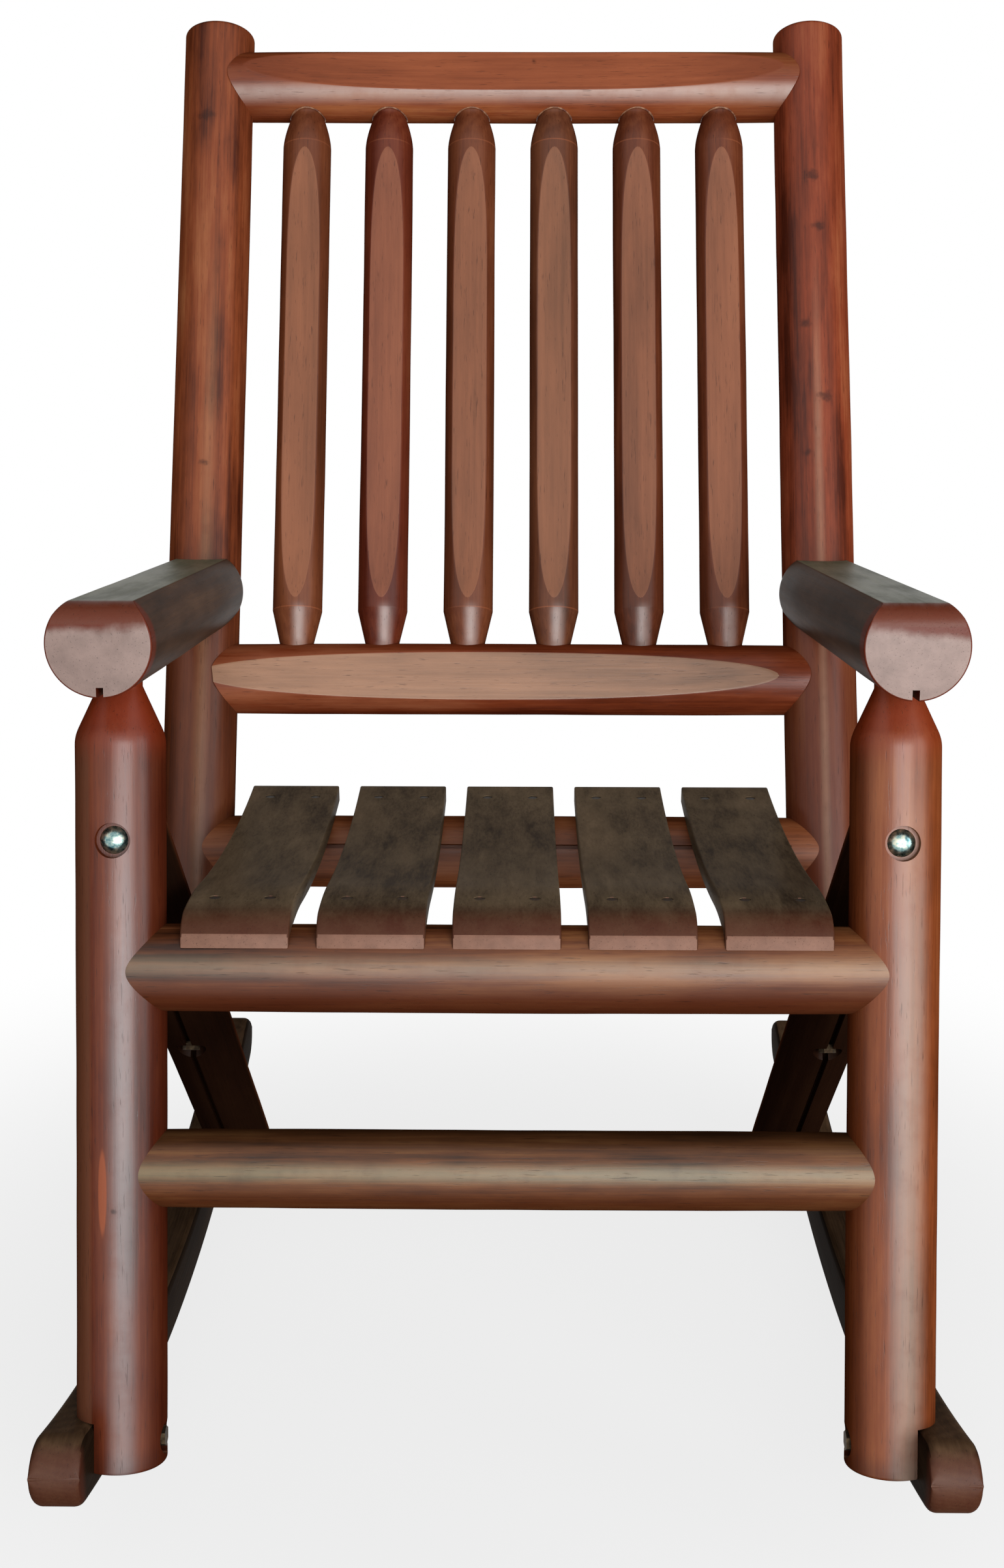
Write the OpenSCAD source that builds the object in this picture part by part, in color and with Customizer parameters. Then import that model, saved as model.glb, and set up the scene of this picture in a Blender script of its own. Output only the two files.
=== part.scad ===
// A rocking chair of round, peeled and stained logs: twin rockers, two front legs, two rear
// stringers, two back posts, two armrests, coped rails, six spindles and five scooped seat slats.
//
// The frame is laid out square to its front legs. In that frame space the origin is at the foot of
// the legs, midway between them, +Z runs up the legs and +Y runs to the rear. The finished frame
// then leans back onto its rockers. The part's own origin is on the floor, midway between the two
// places where the rockers touch it at rest, and the sitter faces -Y.

/* [Stance] */
// Lean of the front legs to the rear when the chair stands at rest, in degrees
rest_tilt = 12; // [9:0.1:13]
// Distance from the floor contact forward to the foot of the front legs
foot_forward = 362; // [340:1:380]
// Height of the front legs' foot above the floor
foot_height = 60; // [54:1:70]

/* [Rockers] */
// Radius of the underside of the rockers
rocker_radius = 1500; // [1350:10:1700]
// Height of a rocker board
rocker_height = 50; // [44:1:58]
// Thickness of a rocker board
rocker_thick = 36; // [28:1:44]
// Reach of a rocker to the front and to the rear of its floor contact
rocker_reach = 432; // [405:1:470]
// Rounding of the rockers' long edges
rocker_edge = 7; // [3:1:10]
// Depth to which legs and stringers are notched for the rockers
rocker_notch = 18; // [14:1:22]

/* [Front legs] */
// Diameter of the front legs
leg_d = 65; // [58:1:70]
// Distance between the axes of the two front legs, which the stringers and back posts share
leg_spacing = 554; // [530:1:580]
// Length of a front leg from its foot to the start of its tenon
leg_len = 560; // [530:1:580]
// Length of the taper at the top of a front leg
leg_taper = 36; // [24:1:50]
// Diameter of the tenon that enters the armrest
leg_tenon_d = 32; // [26:1:38]
// Length of the tenon that enters the armrest
leg_tenon_len = 32; // [24:1:36]

/* [Armrests] */
// Diameter of the armrests
arm_d = 74; // [70:1:80]
// Depth planed off the top of the armrests
arm_flat = 8; // [5:0.5:12]
// Reach of the armrests in front of the legs' axis
arm_overhang = 75; // [60:1:100]
// Rise of the armrests to the rear, measured square to the legs, in degrees
arm_rise = 8.9; // [6:0.1:10]
// Radius of the rolled top edge at the front of the armrests
arm_roll = 15; // [8:1:20]
// Distance from the rear of the armrests to the back posts' axis
arm_rear_gap = 10; // [6:1:16]

/* [Seat] */
// Depth of the seat from the legs' axis to the back posts' axis, measured at the rear seat rail
seat_depth = 321; // [310:1:335]
// Height of the front seat rail's axis above the legs' foot
front_rail_z = 358; // [345:1:370]
// Height of the rear seat rail's axis above the legs' foot
rear_rail_z = 421; // [415:1:432]
// Diameter of the seat and back rails
rail_d = 64; // [60:1:64]
// Number of seat slats
slat_count = 5; // [4:1:5]
// Width of a seat slat
slat_w = 77; // [66:1:86]
// Gap between the outer slats and the stringers
slat_side_gap = 15; // [12:1:24]
// Thickness of a seat slat
slat_t = 15; // [12:0.5:18]
// Radius of the seat's scoop
scoop_radius = 1200; // [1000:50:1500]
// Radius of the brow where the seat's top falls away to the front
brow_radius = 250; // [200:10:400]
// Reach of the slats in front of the front seat rail's axis
slat_front = 27; // [22:1:30]
// Reach of the slats behind the rear seat rail's axis
slat_rear = 27; // [20:1:32]
// Radius of the rolled front edge of the slats
slat_roll = 26; // [16:1:28]

/* [Lower stretcher] */
// Height of the lower stretcher's axis above the legs' foot
stretcher_z = 213; // [190:1:240]
// Diameter of the lower stretcher
stretcher_d = 57; // [48:1:62]
// Diameter of the lower stretcher's tenons
stretcher_tenon_d = 34; // [28:1:38]

/* [Back] */
// Lean of the back posts to the rear of the front legs' direction, in degrees
back_lean = 10.3; // [8:0.1:12]
// Diameter of the back posts
post_d = 65; // [65:1:70]
// Distance along the back posts from the rear seat rail up to the lower back rail
low_rail_up = 155.5; // [145:0.5:165]
// Distance along the back posts from the rear seat rail up to the top back rail
top_rail_up = 723; // [690:1:760]
// Length of the back posts above the top back rail's axis
post_above = 51; // [40:1:70]
// Diameter of the rails' tenons
rail_tenon_d = 38; // [32:1:42]
// Length of a rail's tenon inside its leg or post
rail_tenon_len = 40; // [32:1:48]

/* [Spindles] */
// Number of spindles
spindle_count = 6; // [4:1:6]
// Diameter of a spindle
spindle_d = 45; // [38:1:50]
// Gap between the outer spindles and the back posts
spindle_side_gap = 29.5; // [20:0.5:40]
// Diameter of a spindle's neck, which enters the rails
spindle_neck_d = 31; // [26:1:34]
// Length of the taper at each end of a spindle
spindle_taper = 30; // [20:1:40]
// Depth to which a spindle's neck enters each rail
spindle_seat = 24; // [16:1:28]

/* [Stringers] */
// Diameter of the rear stringers
stringer_d = 63; // [58:1:64]
// Height above the legs' foot at which a stringer's axis meets the leg's axis
stringer_z = 461; // [452:1:470]
// Fall of the stringers to the rear, measured square to the legs, in degrees
stringer_fall = 31.4; // [30:0.1:32.5]

/* [Hand-cut flats] */
// Depth of the long flat on the top back rail
top_flat = 9; // [4:0.5:10]
// Turn of the flat on the top back rail upwards from the back's face, in degrees
top_flat_turn = 12; // [0:1:25]
// Depth of the long flat on the lower back rail
low_flat = 8.5; // [4:0.5:10]
// Turn of the flat on the lower back rail upwards from the back's face, in degrees
low_flat_turn = -4; // [-10:1:10]
// Depth of the long flat on each spindle
spindle_flat = 6.4; // [4:0.1:8]
// Width of the relief kerfs sawn along logs to stop them splitting
kerf_w = 5; // [3:0.5:6]
// Depth of the relief kerfs
kerf_depth = 8; // [5:0.5:10]
// Rounding of sawn log ends
end_ease = 4; // [2:0.5:6]

/* [Bolts and screws] */
// Diameter of the bolts
bolt_d = 8; // [6:1:10]
// Diameter of a carriage bolt's domed head
bolt_head_d = 20; // [18:1:22]
// Height of a carriage bolt's domed head
bolt_head_h = 5; // [4:0.5:6]
// Diameter of the counterbores
counterbore_d = 25; // [25:1:28]
// Depth of the counterbores
counterbore_depth = 9; // [8:0.5:12]
// Height of the bolts above the legs' foot at which the stringers are fastened
leg_bolt_z = 451; // [447:1:455]
// Height of the front rocker bolts above the legs' foot
foot_bolt_z = 18; // [16:1:22]
// Diameter of the cross dowel nuts
cross_nut_d = 12; // [10:1:14]
// Diameter of the slat screws
screw_d = 4; // [3:0.5:5]
// Distance between the two screws across a slat
screw_spacing = 40; // [30:1:50]

/* [Fits] */
// Gap around tenons and between coped ends and the logs that they meet
fit_gap = 0.15; // [0.1:0.05:0.3]
// Gap around bolts and screws in their holes
hole_gap = 0.15; // [0.1:0.05:0.3]

/* [Hidden] */
$fn = 64;
// Facets on circles of the rockers' size, so that they stay round
large_fn = 900;

left = -1;
right = 1;
half = leg_spacing / 2;
leg_r = leg_d / 2;
rail_r = rail_d / 2;
post_r = post_d / 2;
arm_r = arm_d / 2;
stringer_r = stringer_d / 2;
bolt_r = bolt_d / 2;
log_color = "#8a3f24";
seat_color = "#4a3a30";
steel_color = "#c9ccd0";

// Where the centre of the rockers' arc lies in frame space, as [y, z]
arc_up = rocker_radius - foot_height;
arc_center = [
    foot_forward * cos(rest_tilt) - arc_up * sin(rest_tilt),
    foot_forward * sin(rest_tilt) + arc_up * cos(rest_tilt)
];
rocker_mid = rocker_radius - rocker_height / 2;
// Inner face of each rocker, measured from the middle of the chair
rocker_inner = half + leg_r - rocker_notch;
rocker_mid_x = rocker_inner + rocker_thick / 2;

// Direction of a stringer, and the distance along it from the leg's axis to its rocker bolt
stringer_dir = [cos(stringer_fall), -sin(stringer_fall)];
to_arc = [-arc_center[0], stringer_z - arc_center[1]];
along_arc = to_arc * stringer_dir;
stringer_bolt_s = -along_arc + sqrt(along_arc * along_arc - to_arc * to_arc + rocker_mid * rocker_mid);

// Distance along a back post from the rear seat rail to the stringer's axis, which is negative
foot_cross = (stringer_z - tan(stringer_fall) * seat_depth - rear_rail_z)
    / (cos(back_lean) + tan(stringer_fall) * sin(back_lean));
// Distance along a back post's axis from the stringer's axis to the stringer's surface
stringer_skin = stringer_r / cos(stringer_fall - back_lean);

// The armrests' axis: height above the foot at the legs, and length to the back posts' axis
arm_z = leg_len + arm_r / cos(arm_rise);
arm_span = (seat_depth + (arm_z - rear_rail_z) * tan(back_lean))
    / (cos(arm_rise) - sin(arm_rise) * tan(back_lean));

washer_t = 1.8;
washer_d = 22;
nut_h = 6.5;
lag_head_h = 5.5;
hex_d = 15;
lag_into_post = 62;
lag_into_arm = 68;

// Distance between the middles of neighbouring slats and of neighbouring spindles
slat_pitch = (leg_spacing - stringer_d - slat_w - 2 * slat_side_gap) / (slat_count - 1);
spindle_pitch = (leg_spacing - post_d - spindle_d - 2 * spindle_side_gap) / (spindle_count - 1);

// Longer than any piece, for cutters that run right through
beyond = 3 * leg_spacing;

// Where the seat's top surface passes over the two seat rails, and its slope at the front
slat_bed = 1;
brow_reach = 55;
front_top = front_rail_z + rail_r + slat_t - slat_bed + brow_reach * brow_reach / (2 * brow_radius);
rear_slope = (rear_rail_z - front_rail_z) / seat_depth + seat_depth / (2 * scoop_radius);
rear_top = rear_rail_z + (rail_r + slat_t - slat_bed) / cos(atan(rear_slope));
front_slope = (rear_top - front_top) / seat_depth - seat_depth / (2 * scoop_radius);
function brow_drop(y) = pow(max(brow_reach - y, 0), 2) / (2 * brow_radius);
function seat_z(y) = front_top + front_slope * y + y * y / (2 * scoop_radius) - brow_drop(y);
function seat_slope(y) = front_slope + y / scoop_radius + max(brow_reach - y, 0) / brow_radius;

// Places and turns
module leaned() translate([0, -foot_forward, foot_height]) rotate([-rest_tilt, 0, 0]) children();
module in_back() leaned() translate([0, seat_depth, rear_rail_z]) rotate([-back_lean, 0, 0]) children();
module on_side(side) translate([side * half, 0, 0]) children();
module along_arm(side) leaned() translate([side * half, 0, arm_z]) rotate([arm_rise, 0, 0]) children();
module along_stringer(side)
    leaned() translate([side * half, 0, stringer_z]) rotate([-stringer_fall, 0, 0]) children();
// Turns the z axis to +Y, to +X and to -X
module to_rear() rotate([-90, 0, 0]) children();
module to_right() rotate([0, 90, 0]) children();
module outward(side) rotate([0, side * 90, 0]) children();

// A log standing on the XY plane with eased rims
module log(d, len, ease_foot, ease_top) {
    r = d / 2;
    function turns(ease) = [for (i = ease > 0 ? [0 : 4] : [0]) 90 * i / 4];
    foot = [for (a = turns(ease_foot)) [r - ease_foot + ease_foot * sin(a), ease_foot - ease_foot * cos(a)]];
    top = [for (a = turns(ease_top)) [r - ease_top + ease_top * cos(a), len - ease_top + ease_top * sin(a)]];
    rotate_extrude() polygon(concat([[0, 0]], foot, top, [[0, len]]));
}

// Cutter for a long hand-cut flat on the front of a log along X: deepest in the middle, gone at its ends.
// The higher the power, the longer it keeps its depth.
module long_flat(r, len, depth, power) {
    steps = 14;
    past = 0.5;
    rise = [for (i = [0 : steps]) let (u = sin(180 * i / steps - 90))
        [u * len / 2, r + past - (depth + past) * (1 - pow(abs(u), power))]];
    linear_extrude(3 * r, center = true) mirror([0, 1])
        polygon(concat(rise, [[len / 2, r + 20], [-len / 2, r + 20]]));
}

// A tenon of the rails, on either end of a member along X
module end_tenons(d, gap) {
    reach = half - leg_r + rail_tenon_len + (gap > 0 ? 1 : 0);
    to_right() cylinder(d = d + 2 * gap, h = 2 * reach, center = true);
}

// Front legs
module leg_top(gap) {
    top = leg_len + leg_tenon_len + (gap > 0 ? 1 : 0);
    translate([0, 0, leg_len - leg_taper])
        cylinder(h = leg_taper, d1 = leg_d + 2 * gap, d2 = leg_tenon_d + 2 * gap);
    translate([0, 0, leg_len]) cylinder(h = top - leg_len, d = leg_tenon_d + 2 * gap);
}

// Everything that a rocker and its clearance take up, from its top edge downwards
module rocker_pocket(side) {
    inner = side * (rocker_inner - fit_gap);
    translate([inner, 0, rocker_radius]) mirror([side == left ? 1 : 0, 0, 0]) difference() {
        translate([0, -beyond / 2, -rocker_radius - rocker_height]) cube([2 * leg_d, beyond, 5 * rocker_height]);
        to_right() cylinder(r = rocker_radius - rocker_height - fit_gap, h = beyond, center = true,
            $fn = large_fn);
    }
}

module leg_bolt_holes(side) {
    on_side(side) translate([0, 0, leg_bolt_z]) to_rear() {
        cylinder(d = bolt_d + 2 * hole_gap, h = 6 * leg_r, center = true);
        translate([0, 0, -leg_r - 1]) cylinder(d = counterbore_d, h = counterbore_depth + 1);
    }
}

module foot_bolt_holes(side) {
    translate([0, 0, foot_bolt_z]) outward(side) {
        cylinder(d = bolt_d + 2 * hole_gap, h = 2 * half);
        translate([0, 0, half - leg_r - 1]) cylinder(d = counterbore_d, h = counterbore_depth + 1);
    }
}

module stringer_foot_hole(side) {
    translate([0, stringer_bolt_s, 0]) outward(side) {
        cylinder(d = bolt_d + 2 * hole_gap, h = 4 * stringer_d, center = true);
        translate([0, 0, -stringer_r - 1]) cylinder(d = counterbore_d, h = counterbore_depth + 1);
    }
}

module front_leg(side) color(log_color) difference() {
    leaned() on_side(side) {
        log(leg_d, leg_len - leg_taper, end_ease, 0);
        leg_top(0);
    }
    rocker_pocket(side);
    leaned() {
        leg_bolt_holes(side);
        foot_bolt_holes(side);
        translate([0, 0, front_rail_z]) end_tenons(rail_tenon_d, fit_gap);
        translate([0, 0, stretcher_z]) end_tenons(stretcher_tenon_d, fit_gap);
    }
}

// Armrests
module arm(side) color(log_color) difference() {
    along_arm(side) difference() {
        translate([0, -arm_overhang, 0]) to_rear()
            cylinder(d = arm_d, h = arm_overhang + arm_span - arm_rear_gap);
        translate([-arm_r, -arm_overhang - 1, arm_r - arm_flat]) cube([arm_d, beyond, arm_d]);
        translate([0, -arm_overhang, arm_r - arm_flat]) to_right() arm_roll_cutter();
        translate([-kerf_w / 2, -arm_overhang - 1, -arm_r - 1]) cube([kerf_w, beyond, kerf_depth + 1]);
        arm_lag_hole();
    }
    in_back() on_side(side) cylinder(d = post_d + 2 * fit_gap, h = beyond);
    leaned() on_side(side) leg_top(fit_gap);
}

module arm_roll_cutter() linear_extrude(arm_d + 2, center = true) difference() {
    translate([-1, -1]) square(arm_roll + 1);
    translate([arm_roll, arm_roll]) circle(arm_roll);
}

module arm_lag_hole() translate([0, arm_span, 0]) to_rear() {
    translate([0, 0, -post_r - lag_into_arm])
        cylinder(d = bolt_d + 2 * hole_gap, h = lag_into_arm + post_d);
    translate([0, 0, post_r - counterbore_depth]) cylinder(d = counterbore_d, h = post_r);
}

// Back posts
module back_post(side) color(log_color) difference() {
    in_back() on_side(side) translate([0, 0, foot_cross + stringer_r / 3])
        log(post_d, top_rail_up + post_above - foot_cross - stringer_r / 3, 0, end_ease);
    along_stringer(side) to_rear() cylinder(d = stringer_d + 2 * fit_gap, h = beyond);
    along_arm(side) arm_lag_hole();
    in_back() {
        end_tenons(rail_tenon_d, fit_gap);
        translate([0, 0, low_rail_up]) end_tenons(rail_tenon_d, fit_gap);
        translate([0, 0, top_rail_up]) end_tenons(rail_tenon_d, fit_gap);
        on_side(side) post_lag_hole();
    }
}

module post_lag_hole() {
    seat = foot_cross - stringer_skin + counterbore_depth;
    translate([0, 0, seat - stringer_d]) cylinder(d = counterbore_d, h = stringer_d);
    translate([0, 0, seat])
        cylinder(d = bolt_d + 2 * hole_gap, h = 2 * stringer_skin - counterbore_depth + lag_into_post + 2);
}

// Stringers
module stringer(side) color(log_color) difference() {
    along_stringer(side) difference() {
        to_rear() cylinder(d = stringer_d, h = stringer_bolt_s + 2 * stringer_r);
        translate([-kerf_w / 2, 0, -stringer_r - 1]) cube([kerf_w, beyond, kerf_depth + 1]);
        stringer_foot_hole(side);
    }
    leaned() on_side(side) cylinder(d = leg_d + 2 * fit_gap, h = leg_len);
    stringer_foot_cut();
    rocker_pocket(side);
    leaned() {
        leg_bolt_holes(side);
        on_side(side) cross_nut_space(side, hole_gap);
    }
    in_back() on_side(side) post_lag_hole();
}

// Below this plane, parallel to the rocker's edge at the bolt, the stringer is sawn off
module stringer_foot_cut() {
    clear_of_floor = 7;
    bolt_y = -foot_forward + stringer_bolt_s * cos(stringer_fall) * cos(rest_tilt)
        + (stringer_z - stringer_bolt_s * sin(stringer_fall)) * sin(rest_tilt);
    turn = asin(bolt_y / rocker_mid);
    translate([0, 0, rocker_radius]) rotate([turn, 0, 0])
        translate([0, 0, -rocker_radius + clear_of_floor - leg_len / 2])
            cube([beyond, leg_len, leg_len], center = true);
}

// Rockers
module rocker_section() {
    r = rocker_edge;
    w = rocker_thick;
    h = rocker_height;
    difference() {
        translate([-w / 2, -h / 2]) square([w, h]);
        for (sx = [-1, 1], sy = [-1, 1]) scale([sx, sy]) translate([w / 2 - r, h / 2 - r]) difference() {
            square(r + 1);
            circle(r, $fn = 32);
        }
    }
}

module rocker(side) color(log_color) difference() {
    nose_turn = asin((rocker_reach - rocker_height / 2) / rocker_mid);
    translate([side * rocker_mid_x, 0, rocker_radius]) {
        rotate([-nose_turn, 0, 0]) rotate([0, 90, 0]) rotate_extrude(angle = 2 * nose_turn, $fn = large_fn)
            translate([rocker_mid, 0]) rotate(90) rocker_section();
        for (end = [-1, 1]) rotate([end * nose_turn, 0, 0]) translate([0, 0, -rocker_mid]) rocker_nose();
    }
    leaned() foot_bolt_holes(side);
    along_stringer(side) stringer_foot_hole(side);
}

// Disc that rounds off either end of a rocker
module rocker_nose() to_right() rotate_extrude(angle = 360) intersection() {
    rotate(90) rocker_section();
    translate([0, -rocker_thick]) square([rocker_height, 2 * rocker_thick]);
}

// Rails
module seat_front_rail() color(log_color) difference() {
    leaned() translate([0, 0, front_rail_z]) coped_rail(rail_d, rail_tenon_d, leg_d);
    leaned() slat_screw_holes();
}

module seat_rear_rail() color(log_color) difference() {
    in_back() difference() {
        coped_rail(rail_d, rail_tenon_d, post_d);
        translate([-half + post_r, -rail_r - 1, 1 - kerf_w / 2])
            cube([leg_spacing - post_d, kerf_depth + 1, kerf_w - 1]);
    }
    leaned() slat_screw_holes();
}

module lower_stretcher() color(log_color)
    leaned() translate([0, 0, stretcher_z]) coped_rail(stretcher_d, stretcher_tenon_d, leg_d);

module top_back_rail() color(log_color) in_back() translate([0, 0, top_rail_up]) difference() {
    coped_rail(rail_d, rail_tenon_d, post_d);
    rotate([-top_flat_turn, 0, 0]) long_flat(rail_r, leg_spacing - 0.5 * post_d, top_flat, 3);
    spindle_sockets(-1);
}

module lower_back_rail() color(log_color) in_back() translate([0, 0, low_rail_up]) difference() {
    coped_rail(rail_d, rail_tenon_d, post_d);
    rotate([-low_flat_turn, 0, 0]) long_flat(rail_r, leg_spacing - 0.25 * post_d, low_flat, 2);
    spindle_sockets(1);
}

// A log along X whose ends are coped to two upright logs and carry round tenons
module coped_rail(d, tenon_d, upright_d) {
    difference() {
        to_right() cylinder(d = d, h = leg_spacing, center = true);
        for (side = [left, right]) on_side(side)
            cylinder(d = upright_d + 2 * fit_gap, h = 2 * d, center = true);
    }
    end_tenons(tenon_d, 0);
}

// Spindles
function spindle_x(i) = (i - (spindle_count + 1) / 2) * spindle_pitch;
socket_depth = spindle_seat + 1;

module spindle_sockets(toward)
    for (i = [1 : spindle_count]) translate([spindle_x(i), 0, toward * (rail_r - socket_depth / 2 + 5)])
        cylinder(d = spindle_neck_d + 2 * fit_gap, h = socket_depth + 10, center = true);

module spindle(i) if (i <= spindle_count) color(log_color) in_back()
    translate([spindle_x(i), 0, low_rail_up + rail_r]) {
        clear_len = top_rail_up - low_rail_up - rail_d;
        body_len = clear_len - 2 * spindle_taper;
        difference() {
            translate([0, 0, spindle_taper]) cylinder(d = spindle_d, h = body_len);
            translate([0, 0, clear_len / 2]) rotate([0, 90, 0])
                long_flat(spindle_d / 2, body_len * 0.98, spindle_flat, 5);
        }
        taper_end(0.5);
        translate([0, 0, clear_len]) mirror([0, 0, 1]) taper_end(0.66);
    }

// The tapered end of a spindle with its neck below. A swell of 0.5 is a plain cone, and more a bullet.
module taper_end(swell) {
    mid_d = spindle_neck_d + swell * (spindle_d - spindle_neck_d);
    translate([0, 0, -spindle_seat]) cylinder(d = spindle_neck_d, h = spindle_seat);
    cylinder(h = spindle_taper / 2, d1 = spindle_neck_d, d2 = mid_d);
    translate([0, 0, spindle_taper / 2]) cylinder(h = spindle_taper / 2, d1 = mid_d, d2 = spindle_d);
}

// Seat slats
function slat_x(i) = (i - (slat_count + 1) / 2) * slat_pitch;
screw_ys = [14, seat_depth];

module slat_outline() {
    steps = 22;
    roll_steps = 6;
    roll_start = 166;
    rear = seat_depth + slat_rear;
    // The roll's circle lies snug under the seat's top at the brow
    roll_y = -slat_front - slat_roll * cos(roll_start);
    roll_a = 90 + atan(seat_slope(roll_y));
    roll_end = roll_y + slat_roll * cos(roll_a);
    roll_z = seat_z(roll_end) - slat_roll * sin(roll_a);
    roll = [for (i = [0 : roll_steps - 1]) let (a = roll_start + (roll_a - roll_start) * i / roll_steps)
        [roll_y + slat_roll * cos(a), roll_z + slat_roll * sin(a)]];
    top = [for (i = [0 : steps]) let (y = roll_end + (rear - roll_end) * i / steps) [y, seat_z(y)]];
    under = [for (i = [steps : -1 : 0])
        let (y = roll_end + (rear - roll_end) * i / steps, a = atan(seat_slope(y)))
        [y + slat_t * sin(a), seat_z(y) - slat_t * cos(a)]];
    polygon(concat(roll, top, under, [[roll[0][0], roll[0][1] - 9]]));
}

module slat(i) if (i <= slat_count) color(seat_color) difference() {
    leaned() translate([slat_x(i), 0, 0]) rotate([90, 0, 90])
        linear_extrude(slat_w, center = true) slat_outline();
    leaned() {
        for (rail = [[0, front_rail_z], [seat_depth, rear_rail_z]]) translate([0, rail[0], rail[1]])
            to_right() cylinder(d = rail_d + 2 * fit_gap, h = leg_spacing, center = true);
        slat_screw_holes();
    }
}

// Screws stand square to the seat's surface
module at_screws() for (i = [1 : slat_count], s = [-1, 1], y = screw_ys)
    translate([slat_x(i) + s * screw_spacing / 2, y, seat_z(y)])
        rotate([atan(seat_slope(y)), 0, 0]) children();

module screw(gap) {
    head_d = 2.1 * screw_d;
    sunk = 0.6;
    screw_len = 40;
    translate([0, 0, -sunk - screw_len]) cylinder(d = screw_d + 2 * gap, h = screw_len);
    translate([0, 0, -sunk - 0.45 * head_d])
        cylinder(h = 0.45 * head_d, d1 = screw_d + 2 * gap, d2 = head_d + 2 * gap);
    if (gap > 0) translate([0, 0, -sunk]) cylinder(d = head_d + 2 * gap, h = 5);
}

module slat_screw_holes() at_screws() screw(hole_gap);
module slat_screws() color(steel_color) leaned() at_screws() screw(0);

// Domed head below the XY plane and shank above it
module carriage_bolt(len) {
    dome_r = (bolt_head_d * bolt_head_d / 4 + bolt_head_h * bolt_head_h) / (2 * bolt_head_h);
    intersection() {
        translate([0, 0, dome_r - bolt_head_h]) sphere(dome_r);
        translate([0, 0, -bolt_head_h]) cylinder(d = bolt_head_d, h = bolt_head_h);
    }
    cylinder(d = bolt_d, h = len);
}

module washer() difference() {
    cylinder(d = washer_d, h = washer_t);
    translate([0, 0, -1]) cylinder(d = bolt_d + 2 * hole_gap, h = washer_t + 2);
}

module hex_nut() difference() {
    cylinder(d = hex_d, h = nut_h, $fn = 6);
    translate([0, 0, -1]) cylinder(d = bolt_d + 2 * hole_gap, h = nut_h + 2);
}

module lag_bolt(len) {
    translate([0, 0, -lag_head_h]) cylinder(d = hex_d, h = lag_head_h, $fn = 6);
    cylinder(d = bolt_d, h = len);
}

// Bolts through the legs into the stringers' cross nuts
cross_nut_y = leg_r + 22;
module cross_nut_space(side, gap) translate([0, cross_nut_y, leg_bolt_z]) outward(side)
    translate([0, 0, -stringer_r / 2])
        cylinder(d = cross_nut_d + 2 * gap, h = gap > 0 ? 2 * stringer_r : stringer_r);

module leg_carriage_bolts() color(steel_color) leaned() for (side = [left, right])
    on_side(side) translate([0, counterbore_depth - leg_r, leg_bolt_z]) to_rear()
        carriage_bolt(leg_r + cross_nut_y - counterbore_depth + cross_nut_d / 2 + 2);

module leg_cross_nuts() color(steel_color) leaned() for (side = [left, right]) on_side(side) difference() {
    cross_nut_space(side, 0);
    translate([0, 0, leg_bolt_z]) to_rear() cylinder(d = bolt_d + 2 * hole_gap, h = 3 * leg_d);
}

// Bolts through the rockers, with a washer and a nut in the counterbore on the inner side
rocker_grip = rocker_thick + rocker_inner - (half - leg_r + counterbore_depth);
stringer_grip = rocker_thick + rocker_inner - (half - stringer_r + counterbore_depth);
module at_rocker_bolts(side) {
    leaned() translate([side * (rocker_inner + rocker_thick), 0, foot_bolt_z]) outward(-side) children(0);
    along_stringer(side) translate([side * (rocker_inner + rocker_thick - half), stringer_bolt_s, 0])
        outward(-side) children(1);
}

module rocker_carriage_bolts() color(steel_color) for (side = [left, right]) at_rocker_bolts(side) {
    carriage_bolt(rocker_grip + washer_t + nut_h);
    carriage_bolt(stringer_grip + washer_t + nut_h);
}

module rocker_bolt_washers() color(steel_color) for (side = [left, right]) at_rocker_bolts(side) {
    translate([0, 0, rocker_grip]) washer();
    translate([0, 0, stringer_grip]) washer();
}

module rocker_bolt_nuts() color(steel_color) for (side = [left, right]) at_rocker_bolts(side) {
    translate([0, 0, rocker_grip + washer_t]) hex_nut();
    translate([0, 0, stringer_grip + washer_t]) hex_nut();
}

// Lag bolts up through the stringers into the back posts
module at_post_lags() in_back() for (side = [left, right]) on_side(side)
    translate([0, 0, foot_cross - stringer_skin + counterbore_depth]) children();

module post_lag_washers() color(steel_color) at_post_lags() mirror([0, 0, 1]) washer();
module post_lag_bolts() color(steel_color) at_post_lags() translate([0, 0, -washer_t])
    lag_bolt(washer_t + 2 * stringer_skin - counterbore_depth + lag_into_post);

// Lag bolts from behind the back posts into the armrests
module at_arm_lags() for (side = [left, right]) along_arm(side)
    translate([0, arm_span + post_r - counterbore_depth, 0]) rotate([90, 0, 0]) children();

module arm_lag_washers() color(steel_color) at_arm_lags() mirror([0, 0, 1]) washer();
module arm_lag_bolts() color(steel_color) at_arm_lags() translate([0, 0, -washer_t])
    lag_bolt(washer_t + 2 * post_r - counterbore_depth + lag_into_arm - 2);

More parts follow.
